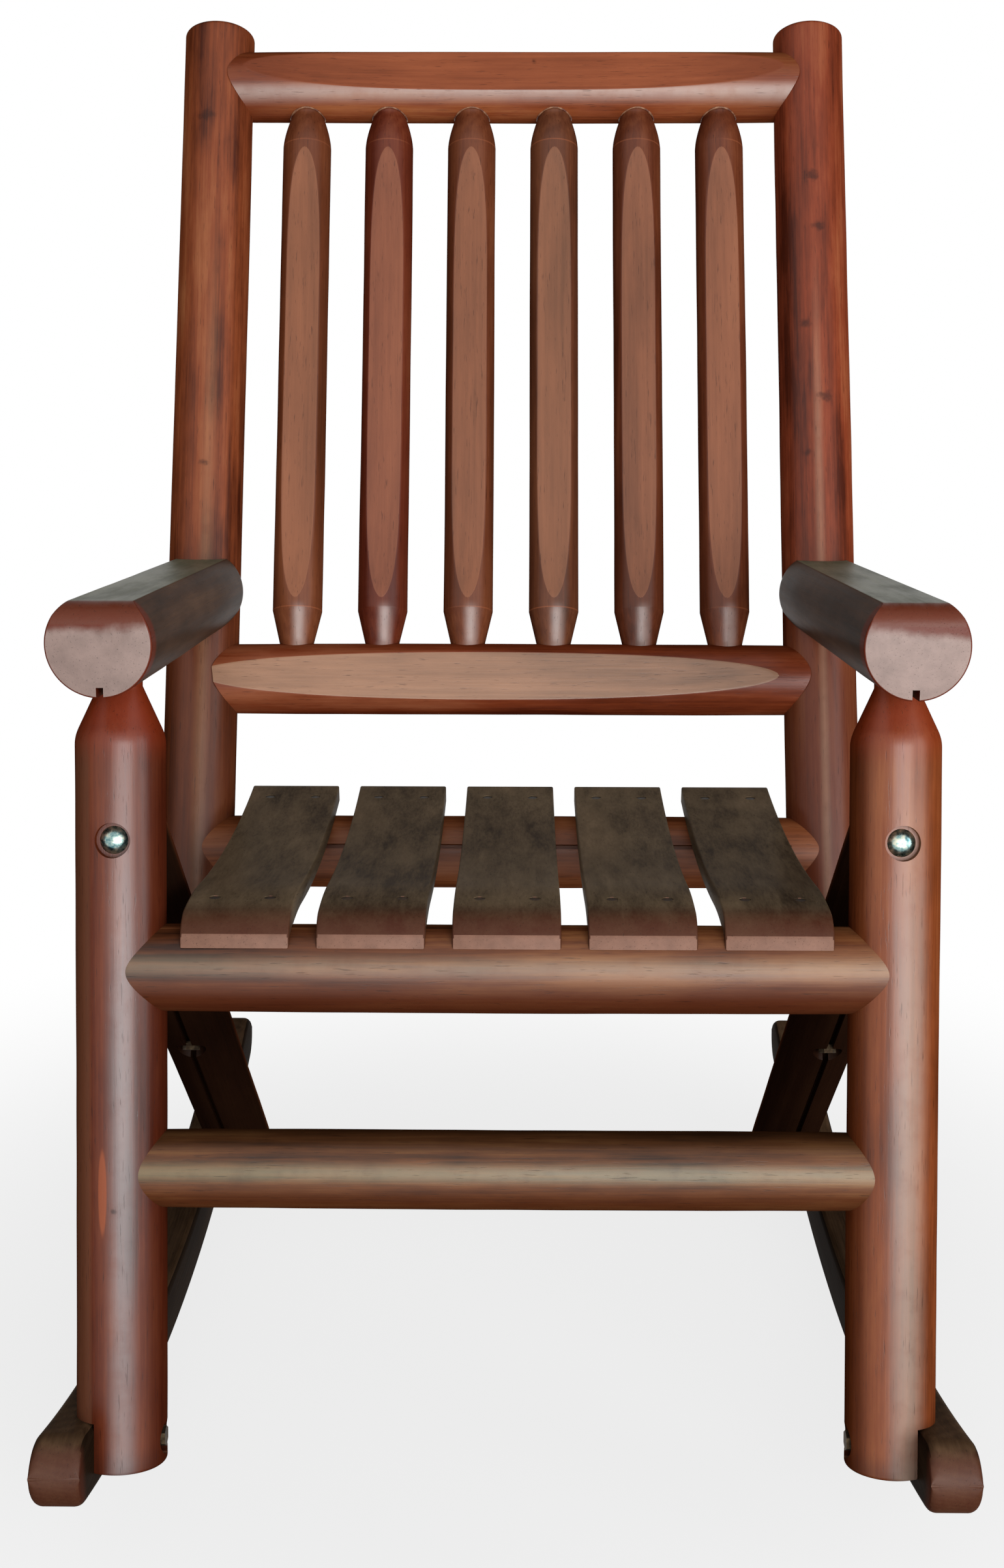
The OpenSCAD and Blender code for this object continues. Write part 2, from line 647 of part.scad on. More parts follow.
front_leg(left);  // front_leg_left
front_leg(right);  // front_leg_right
arm(left);  // arm_left
arm(right);  // arm_right
back_post(left);  // back_post_left
back_post(right);  // back_post_right
stringer(left);  // stringer_left
stringer(right);  // stringer_right
rocker(left);  // rocker_left
rocker(right);  // rocker_right
seat_front_rail();
seat_rear_rail();
lower_stretcher();
top_back_rail();
lower_back_rail();
spindle(1);  // spindle_1
spindle(2);  // spindle_2
spindle(3);  // spindle_3
spindle(4);  // spindle_4
spindle(5);  // spindle_5
spindle(6);  // spindle_6
slat(1);  // seat_slat_1
slat(2);  // seat_slat_2
slat(3);  // seat_slat_3
slat(4);  // seat_slat_4
slat(5);  // seat_slat_5
leg_carriage_bolts();
leg_cross_nuts();
rocker_carriage_bolts();
rocker_bolt_washers();
rocker_bolt_nuts();
post_lag_bolts();
post_lag_washers();
arm_lag_bolts();
arm_lag_washers();
slat_screws();
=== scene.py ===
# Looks of the log rocking chair: hand-peeled, stained and varnished logs around the fixed frame.
# Lengths are in metres. Names such as REST_TILT repeat the driving dimensions of the frame.

import math

import bmesh
import bpy
import numpy as np
from mathutils import Matrix, Vector


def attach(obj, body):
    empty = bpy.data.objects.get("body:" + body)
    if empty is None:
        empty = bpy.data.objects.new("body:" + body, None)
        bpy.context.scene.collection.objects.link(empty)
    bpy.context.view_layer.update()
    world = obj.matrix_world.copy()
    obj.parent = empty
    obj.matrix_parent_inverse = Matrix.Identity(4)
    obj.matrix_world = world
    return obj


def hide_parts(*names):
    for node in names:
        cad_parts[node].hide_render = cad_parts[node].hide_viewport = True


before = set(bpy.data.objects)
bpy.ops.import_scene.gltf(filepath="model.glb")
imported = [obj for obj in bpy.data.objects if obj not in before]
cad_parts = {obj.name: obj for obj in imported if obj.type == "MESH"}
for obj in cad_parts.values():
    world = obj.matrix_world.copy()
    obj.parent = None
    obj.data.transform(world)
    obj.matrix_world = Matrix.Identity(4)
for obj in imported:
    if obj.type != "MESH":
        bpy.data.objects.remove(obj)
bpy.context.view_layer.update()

# The stance and the frame's layout
REST_TILT = math.radians(12.0)
FOOT_FORWARD = 0.362
FOOT_HEIGHT = 0.060
HALF = 0.277
SEAT_DEPTH = 0.321
FRONT_RAIL_Z = 0.358
REAR_RAIL_Z = 0.421
BACK_LEAN = math.radians(10.3)

# Legs and armrests
LEG_R = 0.0325
LEG_LEN = 0.560
LEG_TAPER = 0.036
LEG_SHOULDER = 0.006
LEG_EASE = 0.003
LEG_TENON_R = 0.016
LEG_TENON_LEN = 0.012
ARM_R = 0.037
ARM_EASE = 0.0015
ARM_FLAT = 0.008
ARM_OVERHANG = 0.075
ARM_RISE = math.radians(8.9)
ARM_ROLL = 0.015
ARM_REAR_GAP = 0.010

# Rails, posts and spindles
RAIL_R = 0.032
STRETCHER_R = 0.0285
STRETCHER_Z = 0.213
POST_R = 0.0325
POST_ABOVE = 0.051
POST_EASE = 0.004
POST_FOOT_UP = 0.006
LOW_RAIL_UP = 0.1555
TOP_RAIL_UP = 0.723
LOW_FLAT = 0.0085
LOW_FLAT_TURN = math.radians(-4)
TOP_FLAT = 0.009
TOP_FLAT_TURN = math.radians(12)
LOW_FLAT_MIDDLE = -0.024
RAIL_BLUNT = 0.008
RAIL_THINNING = 0.0007
RAIL_END_GAP = 0.013
SPINDLE_COUNT = 6
SPINDLE_PITCH = 0.077
SPINDLE_R = 0.0225
NECK_R = 0.0155
SPINDLE_TAPER = 0.030
SPINDLE_FLAT = 0.0064
NECK_IN = 0.010
BEAD_R = 0.0008
BEAD_OUT = 0.0004
BEAD_UNEVEN = 0.0003

# Stringers and rockers
STRINGER_R = 0.0315
STRINGER_Z = 0.461
STRINGER_FALL = math.radians(31.4)
ROCKER_RADIUS = 1.5
ROCKER_HEIGHT = 0.050
ROCKER_THICK = 0.036
ROCKER_REACH = 0.432
ROCKER_EDGE = 0.007
ROCKER_NOTCH = 0.018
ROCKER_INNER = HALF + LEG_R - ROCKER_NOTCH
FLOOR_GAP = 0.007

# Seat slats
SLAT_COUNT = 5
SLAT_W = 0.077
SLAT_PITCH = 0.096
SLAT_T = 0.015
SCOOP_RADIUS = 1.2
BROW_RADIUS = 0.25
BROW_REACH = 0.055
SLAT_FRONT = 0.027
SLAT_REAR = 0.027
SLAT_ROLL = 0.026
SLAT_ROLL_START = math.radians(166)
SLAT_FACE = 0.009
SLAT_SUNK = 0.001
SLAT_EASE = 0.0014
SCREW_YS = (0.014, SEAT_DEPTH)
SCREW_SPACING = 0.040
SCREW_HEAD_R = 0.00435
SCREW_SUNK = 0.0012

# Kerfs, counterbores and bolts
KERF_W = 0.005
KERF_DEPTH = 0.008
REAR_KERF = (-0.001, 0.003)
COUNTERBORE_R = 0.0125
COUNTERBORE_DEPTH = 0.009
LEG_BOLT_Z = 0.451
FOOT_BOLT_Z = 0.018

# Logs reach this far into what they are coped to, so that no gap shows
SEAT_IN = 0.0008
# Rings of points along a log are this far apart, and closer in a flat rail's tips
RING_STEP = 0.008
TIP_STEP = 0.001
TIP_RINGS = 60
# Cutters run this far past a face, or this far where they go right through
PAST = 0.010
THROUGH = 1.0
# The pockets for the rockers run to this angle, past the rockers' ends
POCKET_TURN = 0.32
# A hand-cut flat starts this far outside its log, and its edges are this soft
FLAT_CLEAR = 0.0005
FLAT_SOFT = 0.0006
FLAT_POINTS = 14
SIDES = {"left": -1, "right": 1}


# Places

def turn(angle, axis):
    return Matrix.Rotation(angle, 4, axis)


def move(x, y, z):
    return Matrix.Translation((x, y, z))


LEANED = move(0, -FOOT_FORWARD, FOOT_HEIGHT) @ turn(-REST_TILT, "X")
IN_BACK = LEANED @ move(0, SEAT_DEPTH, REAR_RAIL_Z) @ turn(-BACK_LEAN, "X")
# A log's own space has Z along the log and -Y towards its face. These turn Z to +Y and to +X.
TO_REAR = turn(math.radians(-90), "X")
TO_RIGHT = turn(math.radians(90), "Y")
ARM_Z = LEG_LEN + ARM_R / math.cos(ARM_RISE)
ARM_SPAN = (SEAT_DEPTH + (ARM_Z - REAR_RAIL_Z) * math.tan(BACK_LEAN)) / (
    math.cos(ARM_RISE) - math.sin(ARM_RISE) * math.tan(BACK_LEAN))
FOOT_CROSS = (STRINGER_Z - math.tan(STRINGER_FALL) * SEAT_DEPTH - REAR_RAIL_Z) / (
    math.cos(BACK_LEAN) + math.tan(STRINGER_FALL) * math.sin(BACK_LEAN))
STRINGER_SKIN = STRINGER_R / math.cos(STRINGER_FALL - BACK_LEAN)
POST_FOOT = FOOT_CROSS + POST_FOOT_UP


def along_arm(side):
    return LEANED @ move(side * HALF, 0, ARM_Z) @ turn(ARM_RISE, "X") @ TO_REAR


def along_stringer(side):
    return LEANED @ move(side * HALF, 0, STRINGER_Z) @ turn(-STRINGER_FALL, "X") @ TO_REAR


# Mesh helpers

def closed_mesh(name, points, faces, place):
    """Closed mesh from points in a piece's own space, placed in the chair and facing outwards."""
    mesh = bpy.data.meshes.new(name)
    mesh.from_pydata(np.asarray(points).tolist(), [], faces)
    mesh.transform(place)
    shape = bmesh.new()
    shape.from_mesh(mesh)
    if shape.calc_volume(signed=True) < 0:
        mesh.flip_normals()
    shape.free()
    obj = bpy.data.objects.new(name, mesh)
    bpy.context.scene.collection.objects.link(obj)
    return obj


def side_faces(count, around, looped=False):
    """Faces between neighbouring rings, and from the last ring to the first where looped."""
    return [
        (j * around + i, j * around + (i + 1) % around,
         (j + 1) % count * around + (i + 1) % around, (j + 1) % count * around + i)
        for j in range(count if looped else count - 1) for i in range(around)
    ]


def shell(name, rings, place):
    """Piece with a skin over rings of points, its ends closed towards their middles."""
    count, around = len(rings), len(rings[0])
    points = np.concatenate([*rings, [rings[0].mean(0)], [rings[-1].mean(0)]])
    foot, top = count * around, count * around + 1
    last = (count - 1) * around
    fans = [(foot, (i + 1) % around, i) for i in range(around)]
    fans += [(top, last + i, last + (i + 1) % around) for i in range(around)]
    return closed_mesh(name, points, side_faces(count, around) + fans, place)


def prism(low, high, place):
    """Cutter between two outlines with as many points each."""
    around = len(low)
    ends = [tuple(reversed(range(around))), tuple(range(around, 2 * around))]
    return closed_mesh("cutter", np.concatenate([low, high]), side_faces(2, around) + ends, place)


def carve(obj, cutters):
    """Subtracts the cutters from a piece for good, and removes them."""
    for cutter in cutters:
        cut = obj.modifiers.new("cut", "BOOLEAN")
        cut.operation = "DIFFERENCE"
        cut.solver = "EXACT"
        cut.object = cutter
    settle(obj)
    for cutter in cutters:
        bpy.data.objects.remove(cutter)


def dress(obj, place, material, nodes, sharp=math.radians(50), sawn=0.985):
    """Gives a finished piece its grain coordinates, shading, material and place on the frame."""
    mesh = obj.data
    own = place.inverted()
    grain = mesh.attributes.new("grain", "FLOAT_VECTOR", "POINT")
    spots = np.array([own @ v.co for v in mesh.vertices], np.float32)
    grain.data.foreach_set("vector", spots.ravel())
    facing = own.to_3x3()
    normals = np.array([facing @ p.normal for p in mesh.polygons])
    ends = mesh.attributes.new("end_cut", "FLOAT", "FACE")
    ends.data.foreach_set("value", (np.abs(normals[:, 2]) > sawn).astype(np.float32))
    mesh.shade_smooth()
    mesh.set_sharp_from_angle(angle=sharp)
    mesh.materials.clear()
    mesh.materials.append(material)
    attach(obj, "root")
    if nodes:
        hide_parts(*nodes)


def soften(obj, width):
    """Rounds a piece's crisp edges for good."""
    edges = obj.modifiers.new("soften", "BEVEL")
    edges.width = width
    edges.segments = 3
    edges.limit_method = "ANGLE"
    edges.angle_limit = math.radians(40)
    settle(obj)


def settle(obj):
    """Turns a piece's modifiers into its mesh."""
    bpy.context.view_layer.update()
    done = bpy.data.meshes.new_from_object(obj.evaluated_get(bpy.context.evaluated_depsgraph_get()))
    obj.modifiers.clear()
    obj.data = done


def rod(place, radius, low, high, around=64):
    """Plain cutter along a place's Z axis."""
    a = np.linspace(0, 2 * math.pi, around, endpoint=False)
    ring = np.stack([radius * np.sin(a), -radius * np.cos(a), np.zeros(around)], 1)
    return prism(ring + (0, 0, low), ring + (0, 0, high), place)


def block(place, low, high):
    """Box cutter between two corners."""
    x0, y0, z0 = low
    x1, y1, z1 = high
    ring = np.array([(x0, y0, 0), (x1, y0, 0), (x1, y1, 0), (x0, y1, 0)], float)
    return prism(ring + (0, 0, z0), ring + (0, 0, z1), place)


def under_kerf(place, radius):
    """Cutter for the kerf sawn along a log's underside."""
    return block(place, (-KERF_W / 2, radius - KERF_DEPTH, -PAST), (KERF_W / 2, radius + PAST, THROUGH))


def foot_counterbore(place, side, radius, z):
    """Cutter for the counterbore of a rocker's bolt, on the inner side of a log."""
    inside = place @ move(-side * radius, 0, z) @ turn(side * math.pi / 2, "Y")
    return rod(inside, COUNTERBORE_R, -PAST, COUNTERBORE_DEPTH)


def slab(outline, low, high):
    """Cutter with an outline of (y, z) points, between two places along X."""
    yz = np.array(outline)
    near = np.column_stack([np.full(len(yz), low), yz])
    far = np.column_stack([np.full(len(yz), high), yz])
    return prism(near, far, Matrix.Identity(4))


def arc(radius, low, high, steps):
    """Points (y, z) on an arc about the rockers' axis, angles from straight down."""
    a = np.linspace(low, high, steps)
    return [(radius * math.sin(t), ROCKER_RADIUS - radius * math.cos(t)) for t in a]


def rocker_pocket(side):
    """What a rocker takes out of legs and stringers, from its top edge down."""
    top = arc(ROCKER_RADIUS - ROCKER_HEIGHT, -POCKET_TURN, POCKET_TURN, 60)
    outline = top + [(THROUGH, -THROUGH), (-THROUGH, -THROUGH)]
    return slab(outline, *sorted((side * ROCKER_INNER, side * THROUGH)))


# Logs

def waver(rng, angles, z, depth):
    """Gentle unevenness of a hand-peeled log, never above zero."""
    total = np.zeros(angles.shape)
    for lobes, waves in ((1, 1.3), (2, 2.1), (3, 3.4), (2, 6.3), (4, 9.1)):
        phase = rng.uniform(0, 2 * math.pi, 2)
        along = np.sin(2 * math.pi * waves * z[:, None] / 0.6 + phase[0])
        total += np.sin(lobes * angles + phase[1]) * along / (lobes + waves)
    return -depth * (1 - total / np.abs(total).max()) / 2


def stations(length, step, dense=()):
    """Places along a log, with extra ones where its form changes."""
    places = list(np.linspace(0, length, max(2, round(length / step) + 1)))
    places += [p for p in dense if 0 <= p <= length]
    return np.unique(np.round(places, 6))


def angles_round(radius, plane, around):
    """Angles of a ring's points about a flat's middle, close together at the flat's two edges."""
    edge = math.acos(min(plane / radius, math.cos(math.radians(2.5))))
    nearest = radius * math.cos(edge)
    chord = radius * math.sin(edge)
    soft = min(FLAT_SOFT, chord / 7)
    on_flat = [chord - soft, chord - 2.4 * soft] + list(np.linspace(chord - 4 * soft, 0, FLAT_POINTS // 2))
    half = [math.atan2(v, nearest) for v in on_flat]
    outer = [edge + k * soft / radius for k in (1, 2.4)]
    rest = np.linspace(outer[1], 2 * math.pi - outer[1], around - 2 * len(half) - 3)[1:-1]
    front = [-a for a in half] + half[-2::-1]
    return np.array(front + outer + list(rest) + [2 * math.pi - outer[1], 2 * math.pi - outer[0]])


def log(name, place, radius, z, seed, flat=None, flat_turn=0.0, ends=None, cutters=(), around=96,
        depth=0.0006):
    """A round log. radius and flat are functions of z; ends gives each ruling's own ends."""
    rng = np.random.default_rng(seed)
    reach = np.array([radius(v) for v in z])[:, None]
    if flat:
        plane = np.array([flat(v) for v in z])[:, None]
        rings = [angles_round(r, d, around) for r, d in zip(reach[:, 0], plane[:, 0])]
        angles = flat_turn + np.stack(rings)
    else:
        angles = np.tile(np.linspace(0, 2 * math.pi, around, endpoint=False), (len(z), 1))
    r = reach + waver(rng, angles, z, depth)
    hewn = np.zeros(r.shape, bool)
    if flat:
        facing = np.cos(angles - flat_turn)
        level = np.where(facing > 0.05, plane / np.maximum(facing, 0.05), 1.0)
        hewn = level < reach
        r = np.minimum(r, level)
    x = r * np.sin(angles)
    y = -r * np.cos(angles)
    low, high = ends(r, angles) if ends else (z[0], z[-1])
    share = (z - z[0]) / (z[-1] - z[0])
    along = low + (high - low) * share[:, None] + 0 * x
    rings = list(np.stack([x, y, along], 2))
    obj = shell(name, rings, place)
    whole = hewn[:-1] & hewn[1:]
    whole &= np.roll(whole, -1, 1)
    marks = np.zeros(len(obj.data.polygons), np.float32)
    marks[:whole.size] = whole.ravel()
    obj.data.attributes.new("hewn", "FLOAT", "FACE").data.foreach_set("value", marks)
    if cutters:
        carve(obj, cutters)
    return obj


def eased(radius, length, ease, foot=True, top=True):
    """Radius of a sawn log whose rims are rounded over."""
    def at(z):
        near = min(z if foot else ease, length - z if top else ease)
        if near >= ease:
            return radius
        return radius - ease + math.sqrt(max(ease ** 2 - (ease - near) ** 2, 0))
    return at


def rim(length, ease, foot=True, top=True):
    """Extra stations along a rounded rim."""
    steps = [ease * (1 - math.cos(math.radians(a))) for a in (15, 30, 45, 60, 75, 90)]
    return [s for s in steps if foot] + [length - s for s in steps if top]


def coped(uprights_r, blunt=0.0):
    """Ends of a cross log that fit against the two upright logs it joins, with blunted tips."""
    def ends(r, angles):
        reach = []
        for ring, at in ((r[0], angles[0]), (r[-1], angles[-1])):
            depth = np.sqrt(np.maximum(uprights_r ** 2 - (ring * np.cos(at)) ** 2, 0))
            depth += blunt * (1 - depth / uprights_r) ** 2
            reach.append((HALF - depth + SEAT_IN)[None, :])
        return -reach[0], reach[1]
    return ends


def hand_flat(radius, length, depth, middle, power):
    """Distance from a log's axis to its long flat, which keeps its depth longer with a higher power."""
    return lambda z: radius + FLAT_CLEAR - (depth + FLAT_CLEAR) * (
        1 - abs((z - middle) / (length / 2)) ** power)


# Materials

class Nodes:
    """Short way to build a node tree."""

    def __init__(self, name):
        self.material = bpy.data.materials.new(name)
        self.material.use_nodes = True
        self.tree = self.material.node_tree
        self.shader = self.tree.nodes["Principled BSDF"]

    def add(self, kind, inputs=None, **settings):
        node = self.tree.nodes.new(kind)
        for key, value in settings.items():
            setattr(node, key, value)
        for key, value in (inputs or {}).items():
            if isinstance(value, bpy.types.NodeSocket):
                self.tree.links.new(value, node.inputs[key])
            else:
                node.inputs[key].default_value = value
        return node

    def noise(self, vector, stretch, detail=4.0, roughness=0.55, distortion=0.0):
        scaled = self.add("ShaderNodeVectorMath", {0: vector, 1: stretch}, operation="MULTIPLY")
        return self.add("ShaderNodeTexNoise", {
            "Vector": scaled.outputs[0], "Scale": 1.0, "Detail": detail,
            "Roughness": roughness, "Distortion": distortion}).outputs["Fac"]

    def math(self, operation, a, b=0.0):
        return self.add("ShaderNodeMath", {0: a, 1: b}, operation=operation).outputs[0]

    def total(self, first, *others):
        for other in others:
            first = self.math("ADD", first, other)
        return first

    def product(self, first, *others):
        for other in others:
            first = self.math("MULTIPLY", first, other)
        return first

    def swing(self, noise, weight):
        """A noise spread evenly about zero."""
        return self.product(self.math("SUBTRACT", noise, 0.5), weight)

    def distance(self, vector, spot, stretch):
        """Distance from a spot, with each axis stretched."""
        apart = self.add("ShaderNodeVectorMath", {0: vector, 1: spot}, operation="SUBTRACT").outputs[0]
        scaled = self.add("ShaderNodeVectorMath", {0: apart, 1: stretch}, operation="MULTIPLY").outputs[0]
        return self.add("ShaderNodeVectorMath", {0: scaled}, operation="LENGTH").outputs["Value"]

    def ramp(self, fac, stops):
        node = self.add("ShaderNodeValToRGB", {"Fac": fac})
        elements = node.color_ramp.elements
        while len(elements) < len(stops):
            elements.new(0.5)
        for element, (position, color) in zip(elements, stops):
            element.position = position
            element.color = (*color, 1.0)
        return node.outputs["Color"]

    def band(self, value, low, high, to_low=0.0, to_high=1.0):
        return self.add("ShaderNodeMapRange", {
            "Value": value, "From Min": low, "From Max": high,
            "To Min": to_low, "To Max": to_high}, interpolation_type="SMOOTHSTEP").outputs["Result"]

    def mix(self, fac, a, b):
        node = self.add("ShaderNodeMix", data_type="RGBA")
        for socket, value in ((0, fac), (6, a), (7, b)):
            if isinstance(value, bpy.types.NodeSocket):
                self.tree.links.new(value, node.inputs[socket])
            elif socket:
                node.inputs[socket].default_value = (*value, 1.0)
            else:
                node.inputs[socket].default_value = value
        return node.outputs[2]

    def join(self, output, socket):
        self.tree.links.new(output, self.shader.inputs[socket])


def linear(red, green, blue):
    """Scene colour of an sRGB colour given as 0 to 255."""
    def one(v):
        v /= 255
        return v / 12.92 if v <= 0.04045 else ((v + 0.055) / 1.055) ** 2.4
    return one(red), one(green), one(blue)


def shade(tone, share):
    return tuple(share * v for v in tone)


# Wood's noises, in waves per metre across a log, across it and along it
CLOUDS = (12, 12, 3.0)
BENDS = (16, 16, 2.4)
PATCHES = (36, 36, 9)
STREAKS = (62, 62, 2.6)
BLOTCHES = (70, 70, 70)
FRAYS = (170, 170, 170)
FIBRES = (480, 480, 11)
PORES = (900, 900, 60)
PORE_BAND = (0.62, 0.74)
# A tree's heart lies off its log's axis, and this many radians of rings lie in a metre
HEART = (0.004, 0.003, 0)
RINGS = 1500.0


class Wood(Nodes):
    """Stained wood under varnish, laid out in a log's own space."""

    def __init__(self, name, tones, offset):
        super().__init__(name)
        self.dark, self.mid, self.light, self.hewn, self.cut = tones
        self.own = self.add("ShaderNodeAttribute", attribute_name="grain").outputs["Vector"]
        self.on_flat = self.add("ShaderNodeAttribute", attribute_name="hewn").outputs["Fac"]
        self.on_end = self.add("ShaderNodeAttribute", attribute_name="end_cut").outputs["Fac"]
        self.places = self.add("ShaderNodeSeparateXYZ", {0: self.own}).outputs
        moved = (offset, offset * 1.7, offset * 0.6)
        self.where = self.add("ShaderNodeVectorMath", {0: self.own, 1: moved}).outputs[0]
        self.clouds = self.noise(self.where, CLOUDS, detail=2)
        self.streaks = self.noise(self.where, STREAKS, detail=5, roughness=0.6, distortion=0.6)
        self.fibres = self.noise(self.where, FIBRES, detail=3, roughness=0.6)
        self.patches = self.noise(self.where, PATCHES, detail=4, roughness=0.65)
        self.blotches = self.noise(self.where, BLOTCHES, detail=3)
        self.frays = self.noise(self.where, FRAYS, detail=3)
        self.pores = self.noise(self.where, PORES, detail=2)
        self.rings = self.growth_rings()

    def growth_rings(self):
        bent = self.noise(self.where, BENDS, detail=2)
        shifted = self.add("ShaderNodeVectorMath", {0: self.own, 1: HEART}).outputs[0]
        split = self.add("ShaderNodeSeparateXYZ", {0: shifted}).outputs
        squares = self.total(self.math("POWER", split[0], 2.0), self.math("POWER", split[1], 2.0))
        radial = self.math("SQRT", squares)
        return self.math("SINE", self.total(self.product(radial, RINGS), self.product(bent, 22.0)))

    def grain(self, streaky, ringed):
        """Stain in streaks along the log, evener where the wood is hewn. The hewn tone is a painted sheen
        on the arms' flats and painted shade on the rockers' sides.
        """
        tone = self.total(
            self.swing(self.streaks, streaky), self.swing(self.fibres, 0.30), self.swing(self.clouds, 0.65),
            self.swing(self.patches, 0.55), 0.5, self.product(self.rings, ringed))
        stained = self.ramp(tone, [(0.28, self.dark), (0.5, self.mid), (0.74, self.light)])
        tones = (shade(self.hewn, 0.62), self.hewn, shade(self.hewn, 1.35))
        hewn = self.ramp(tone, list(zip((0.24, 0.5, 0.8), tones)))
        return self.mix(self.product(self.on_flat, 0.85), stained, hewn)

    def tint(self, colour, axis, start, stop, strength, tone):
        """Another tone along one of the log's axes, with a streaky edge. Some tints are painted shade, and
        one is a painted sheen.
        """
        reach = self.total(self.places[axis], self.swing(self.streaks, 0.006))
        return self.mix(self.band(reach, start, stop, 0.0, strength), colour, tone)

    def painted_highlight(self, colour, middle, width, gone, strength, tone):
        """A painted highlight: a pale stripe down the log's front."""
        aside = self.math("ABSOLUTE", self.math("SUBTRACT", self.places[0], middle))
        weight = self.product(
            self.band(aside, 0.0, width, strength, 0.0), self.band(self.places[1], 0.0, -0.01),
            self.band(self.places[2], *gone, 1.0, 0.0), self.band(self.blotches, 0.2, 0.6, 0.7, 1.0),
            self.math("SUBTRACT", 1.0, self.on_flat))
        return self.mix(weight, colour, tone)

    def sawn_ends(self, colour, bare):
        """Sawn end grain. bare gives the height and lean above which an end is stained over."""
        shown = self.on_end
        if bare:
            level, lean = bare
            height = self.total(self.places[1], self.swing(self.blotches, 0.008))
            height = self.math("SUBTRACT", height, self.product(self.places[0], lean))
            shown = self.product(shown, self.band(height, level - 0.004, level + 0.004))
        tone = self.total(self.product(self.rings, 0.015), self.blotches)
        return self.mix(shown, colour, self.ramp(tone, [(0.3, shade(self.cut, 0.78)), (0.62, self.cut)]))

    def tool_mark(self, colour, z):
        """A worn line round the log where a taper starts."""
        apart = self.math("ABSOLUTE", self.math("SUBTRACT", self.places[2], z))
        worn = self.product(self.band(apart, 0.0002, 0.0008, 0.45, 0.0), self.band(self.clouds, 0.4, 0.6))
        return self.mix(worn, colour, shade(self.light, 1.6))

    def pits(self, colour):
        return self.mix(self.band(self.pores, *PORE_BAND, 0.0, 0.5), colour, shade(self.dark, 0.35))

    def knot(self, colour, x, y, z, size):
        far = self.distance(self.own, (x, y, z), (1, 1, 1.4))
        ragged = self.total(far, self.swing(self.frays, size * 1.8))
        return self.mix(self.band(ragged, 0.1 * size, 1.1 * size, 0.7, 0.0), colour, shade(self.dark, 0.4))

    def scar(self, colour, x, y, z, width, length):
        """A pale spot where the bark was cut away deeper."""
        far = self.distance(self.own, (x, y, z), (1 / width, 1 / width, 1 / length))
        return self.mix(self.band(far, 0.75, 1.0, 0.9, 0.0), colour, shade(self.light, 1.5))

    def surface(self, gloss):
        """Roughness, and a fine relief of fibres, streaks and pores."""
        rough = self.total(self.product(self.fibres, 0.14), self.product(self.clouds, 0.10), gloss - 0.12)
        self.join(rough, "Roughness")
        height = self.total(self.product(self.fibres, 0.5), self.product(self.streaks, 0.4))
        height = self.math("SUBTRACT", height, self.band(self.pores, *PORE_BAND, 0.0, 0.35))
        bump = self.add("ShaderNodeBump", {"Height": height, "Strength": 0.30, "Distance": 0.0006})
        self.join(bump.outputs["Normal"], "Normal")

    def varnish(self, shine, veil, polished):
        """Gloss of the varnish: dulled at a slant down to veil, and rubbed bright on the flats."""
        facing = self.add("ShaderNodeLayerWeight", {"Blend": 0.5}).outputs["Facing"]
        level = self.product(
            self.band(facing, 0.04, 0.35, shine, 0.2 * shine), self.band(facing, 0.15, 0.5, 1.0, veil))
        rubbed = self.product(
            self.on_flat, self.band(self.patches, 0.36, 0.62, 0.3 * polished, 1.2 * polished))
        self.join(self.math("MAXIMUM", level, rubbed), "Specular IOR Level")


def wood(name, tones, gloss=0.36, shine=0.42, polished=0.0, streaky=0.5, ringed=0.03, veil=0.0, offset=0.0,
         tints=(), painted_highlights=(), bare=None, turned=(), knots=(), scars=()):
    """Material of one stain, its marks, painted shade and painted highlights laid over each other in turn.
    """
    n = Wood(name, tones, offset)
    colour = n.grain(streaky, ringed)
    for tint in tints:
        colour = n.tint(colour, *tint)
    for painted_highlight in painted_highlights:
        colour = n.painted_highlight(colour, *painted_highlight)
    colour = n.sawn_ends(colour, bare)
    for z in turned:
        colour = n.tool_mark(colour, z)
    colour = n.pits(colour)
    for knot in knots:
        colour = n.knot(colour, *knot)
    for scar in scars:
        colour = n.scar(colour, *scar)
    n.join(colour, "Base Color")
    n.surface(gloss)
    n.varnish(shine, veil, polished)
    return n.material


def stain(*tones):
    """Tones of a stain: its dark, middle and light streaks, its hewn flats and its sawn ends."""
    return [linear(*tone) for tone in tones]


LEG_TONES = stain((52, 20, 11), (92, 40, 22), (122, 62, 36), (104, 43, 22), (130, 84, 62))
RIGHT_LEG_TONES = stain((82, 38, 18), (122, 62, 32), (146, 86, 50), (104, 43, 22), (130, 84, 62))
LEFT_POST_TONES = stain((78, 34, 19), (140, 71, 41), (174, 107, 68), (152, 82, 53), (150, 92, 66))
RIGHT_POST_TONES = stain((76, 31, 18), (136, 62, 38), (170, 98, 64), (152, 82, 53), (150, 92, 66))
FRONT_RAIL_TONES = stain((46, 23, 12), (97, 54, 31), (134, 87, 53), (96, 56, 31), (130, 84, 62))
STRETCHER_TONES = stain((46, 25, 13), (104, 62, 34), (142, 98, 58), (96, 56, 31), (130, 84, 62))
REAR_RAIL_TONES = stain((84, 44, 24), (136, 76, 44), (164, 104, 68), (132, 76, 48), (130, 84, 62))
LOW_RAIL_TONES = stain((84, 32, 16), (124, 56, 30), (154, 88, 58), (163, 124, 97), (150, 92, 66))
TOP_RAIL_TONES = stain((90, 38, 19), (144, 73, 41), (176, 108, 66), (152, 82, 53), (150, 92, 66))
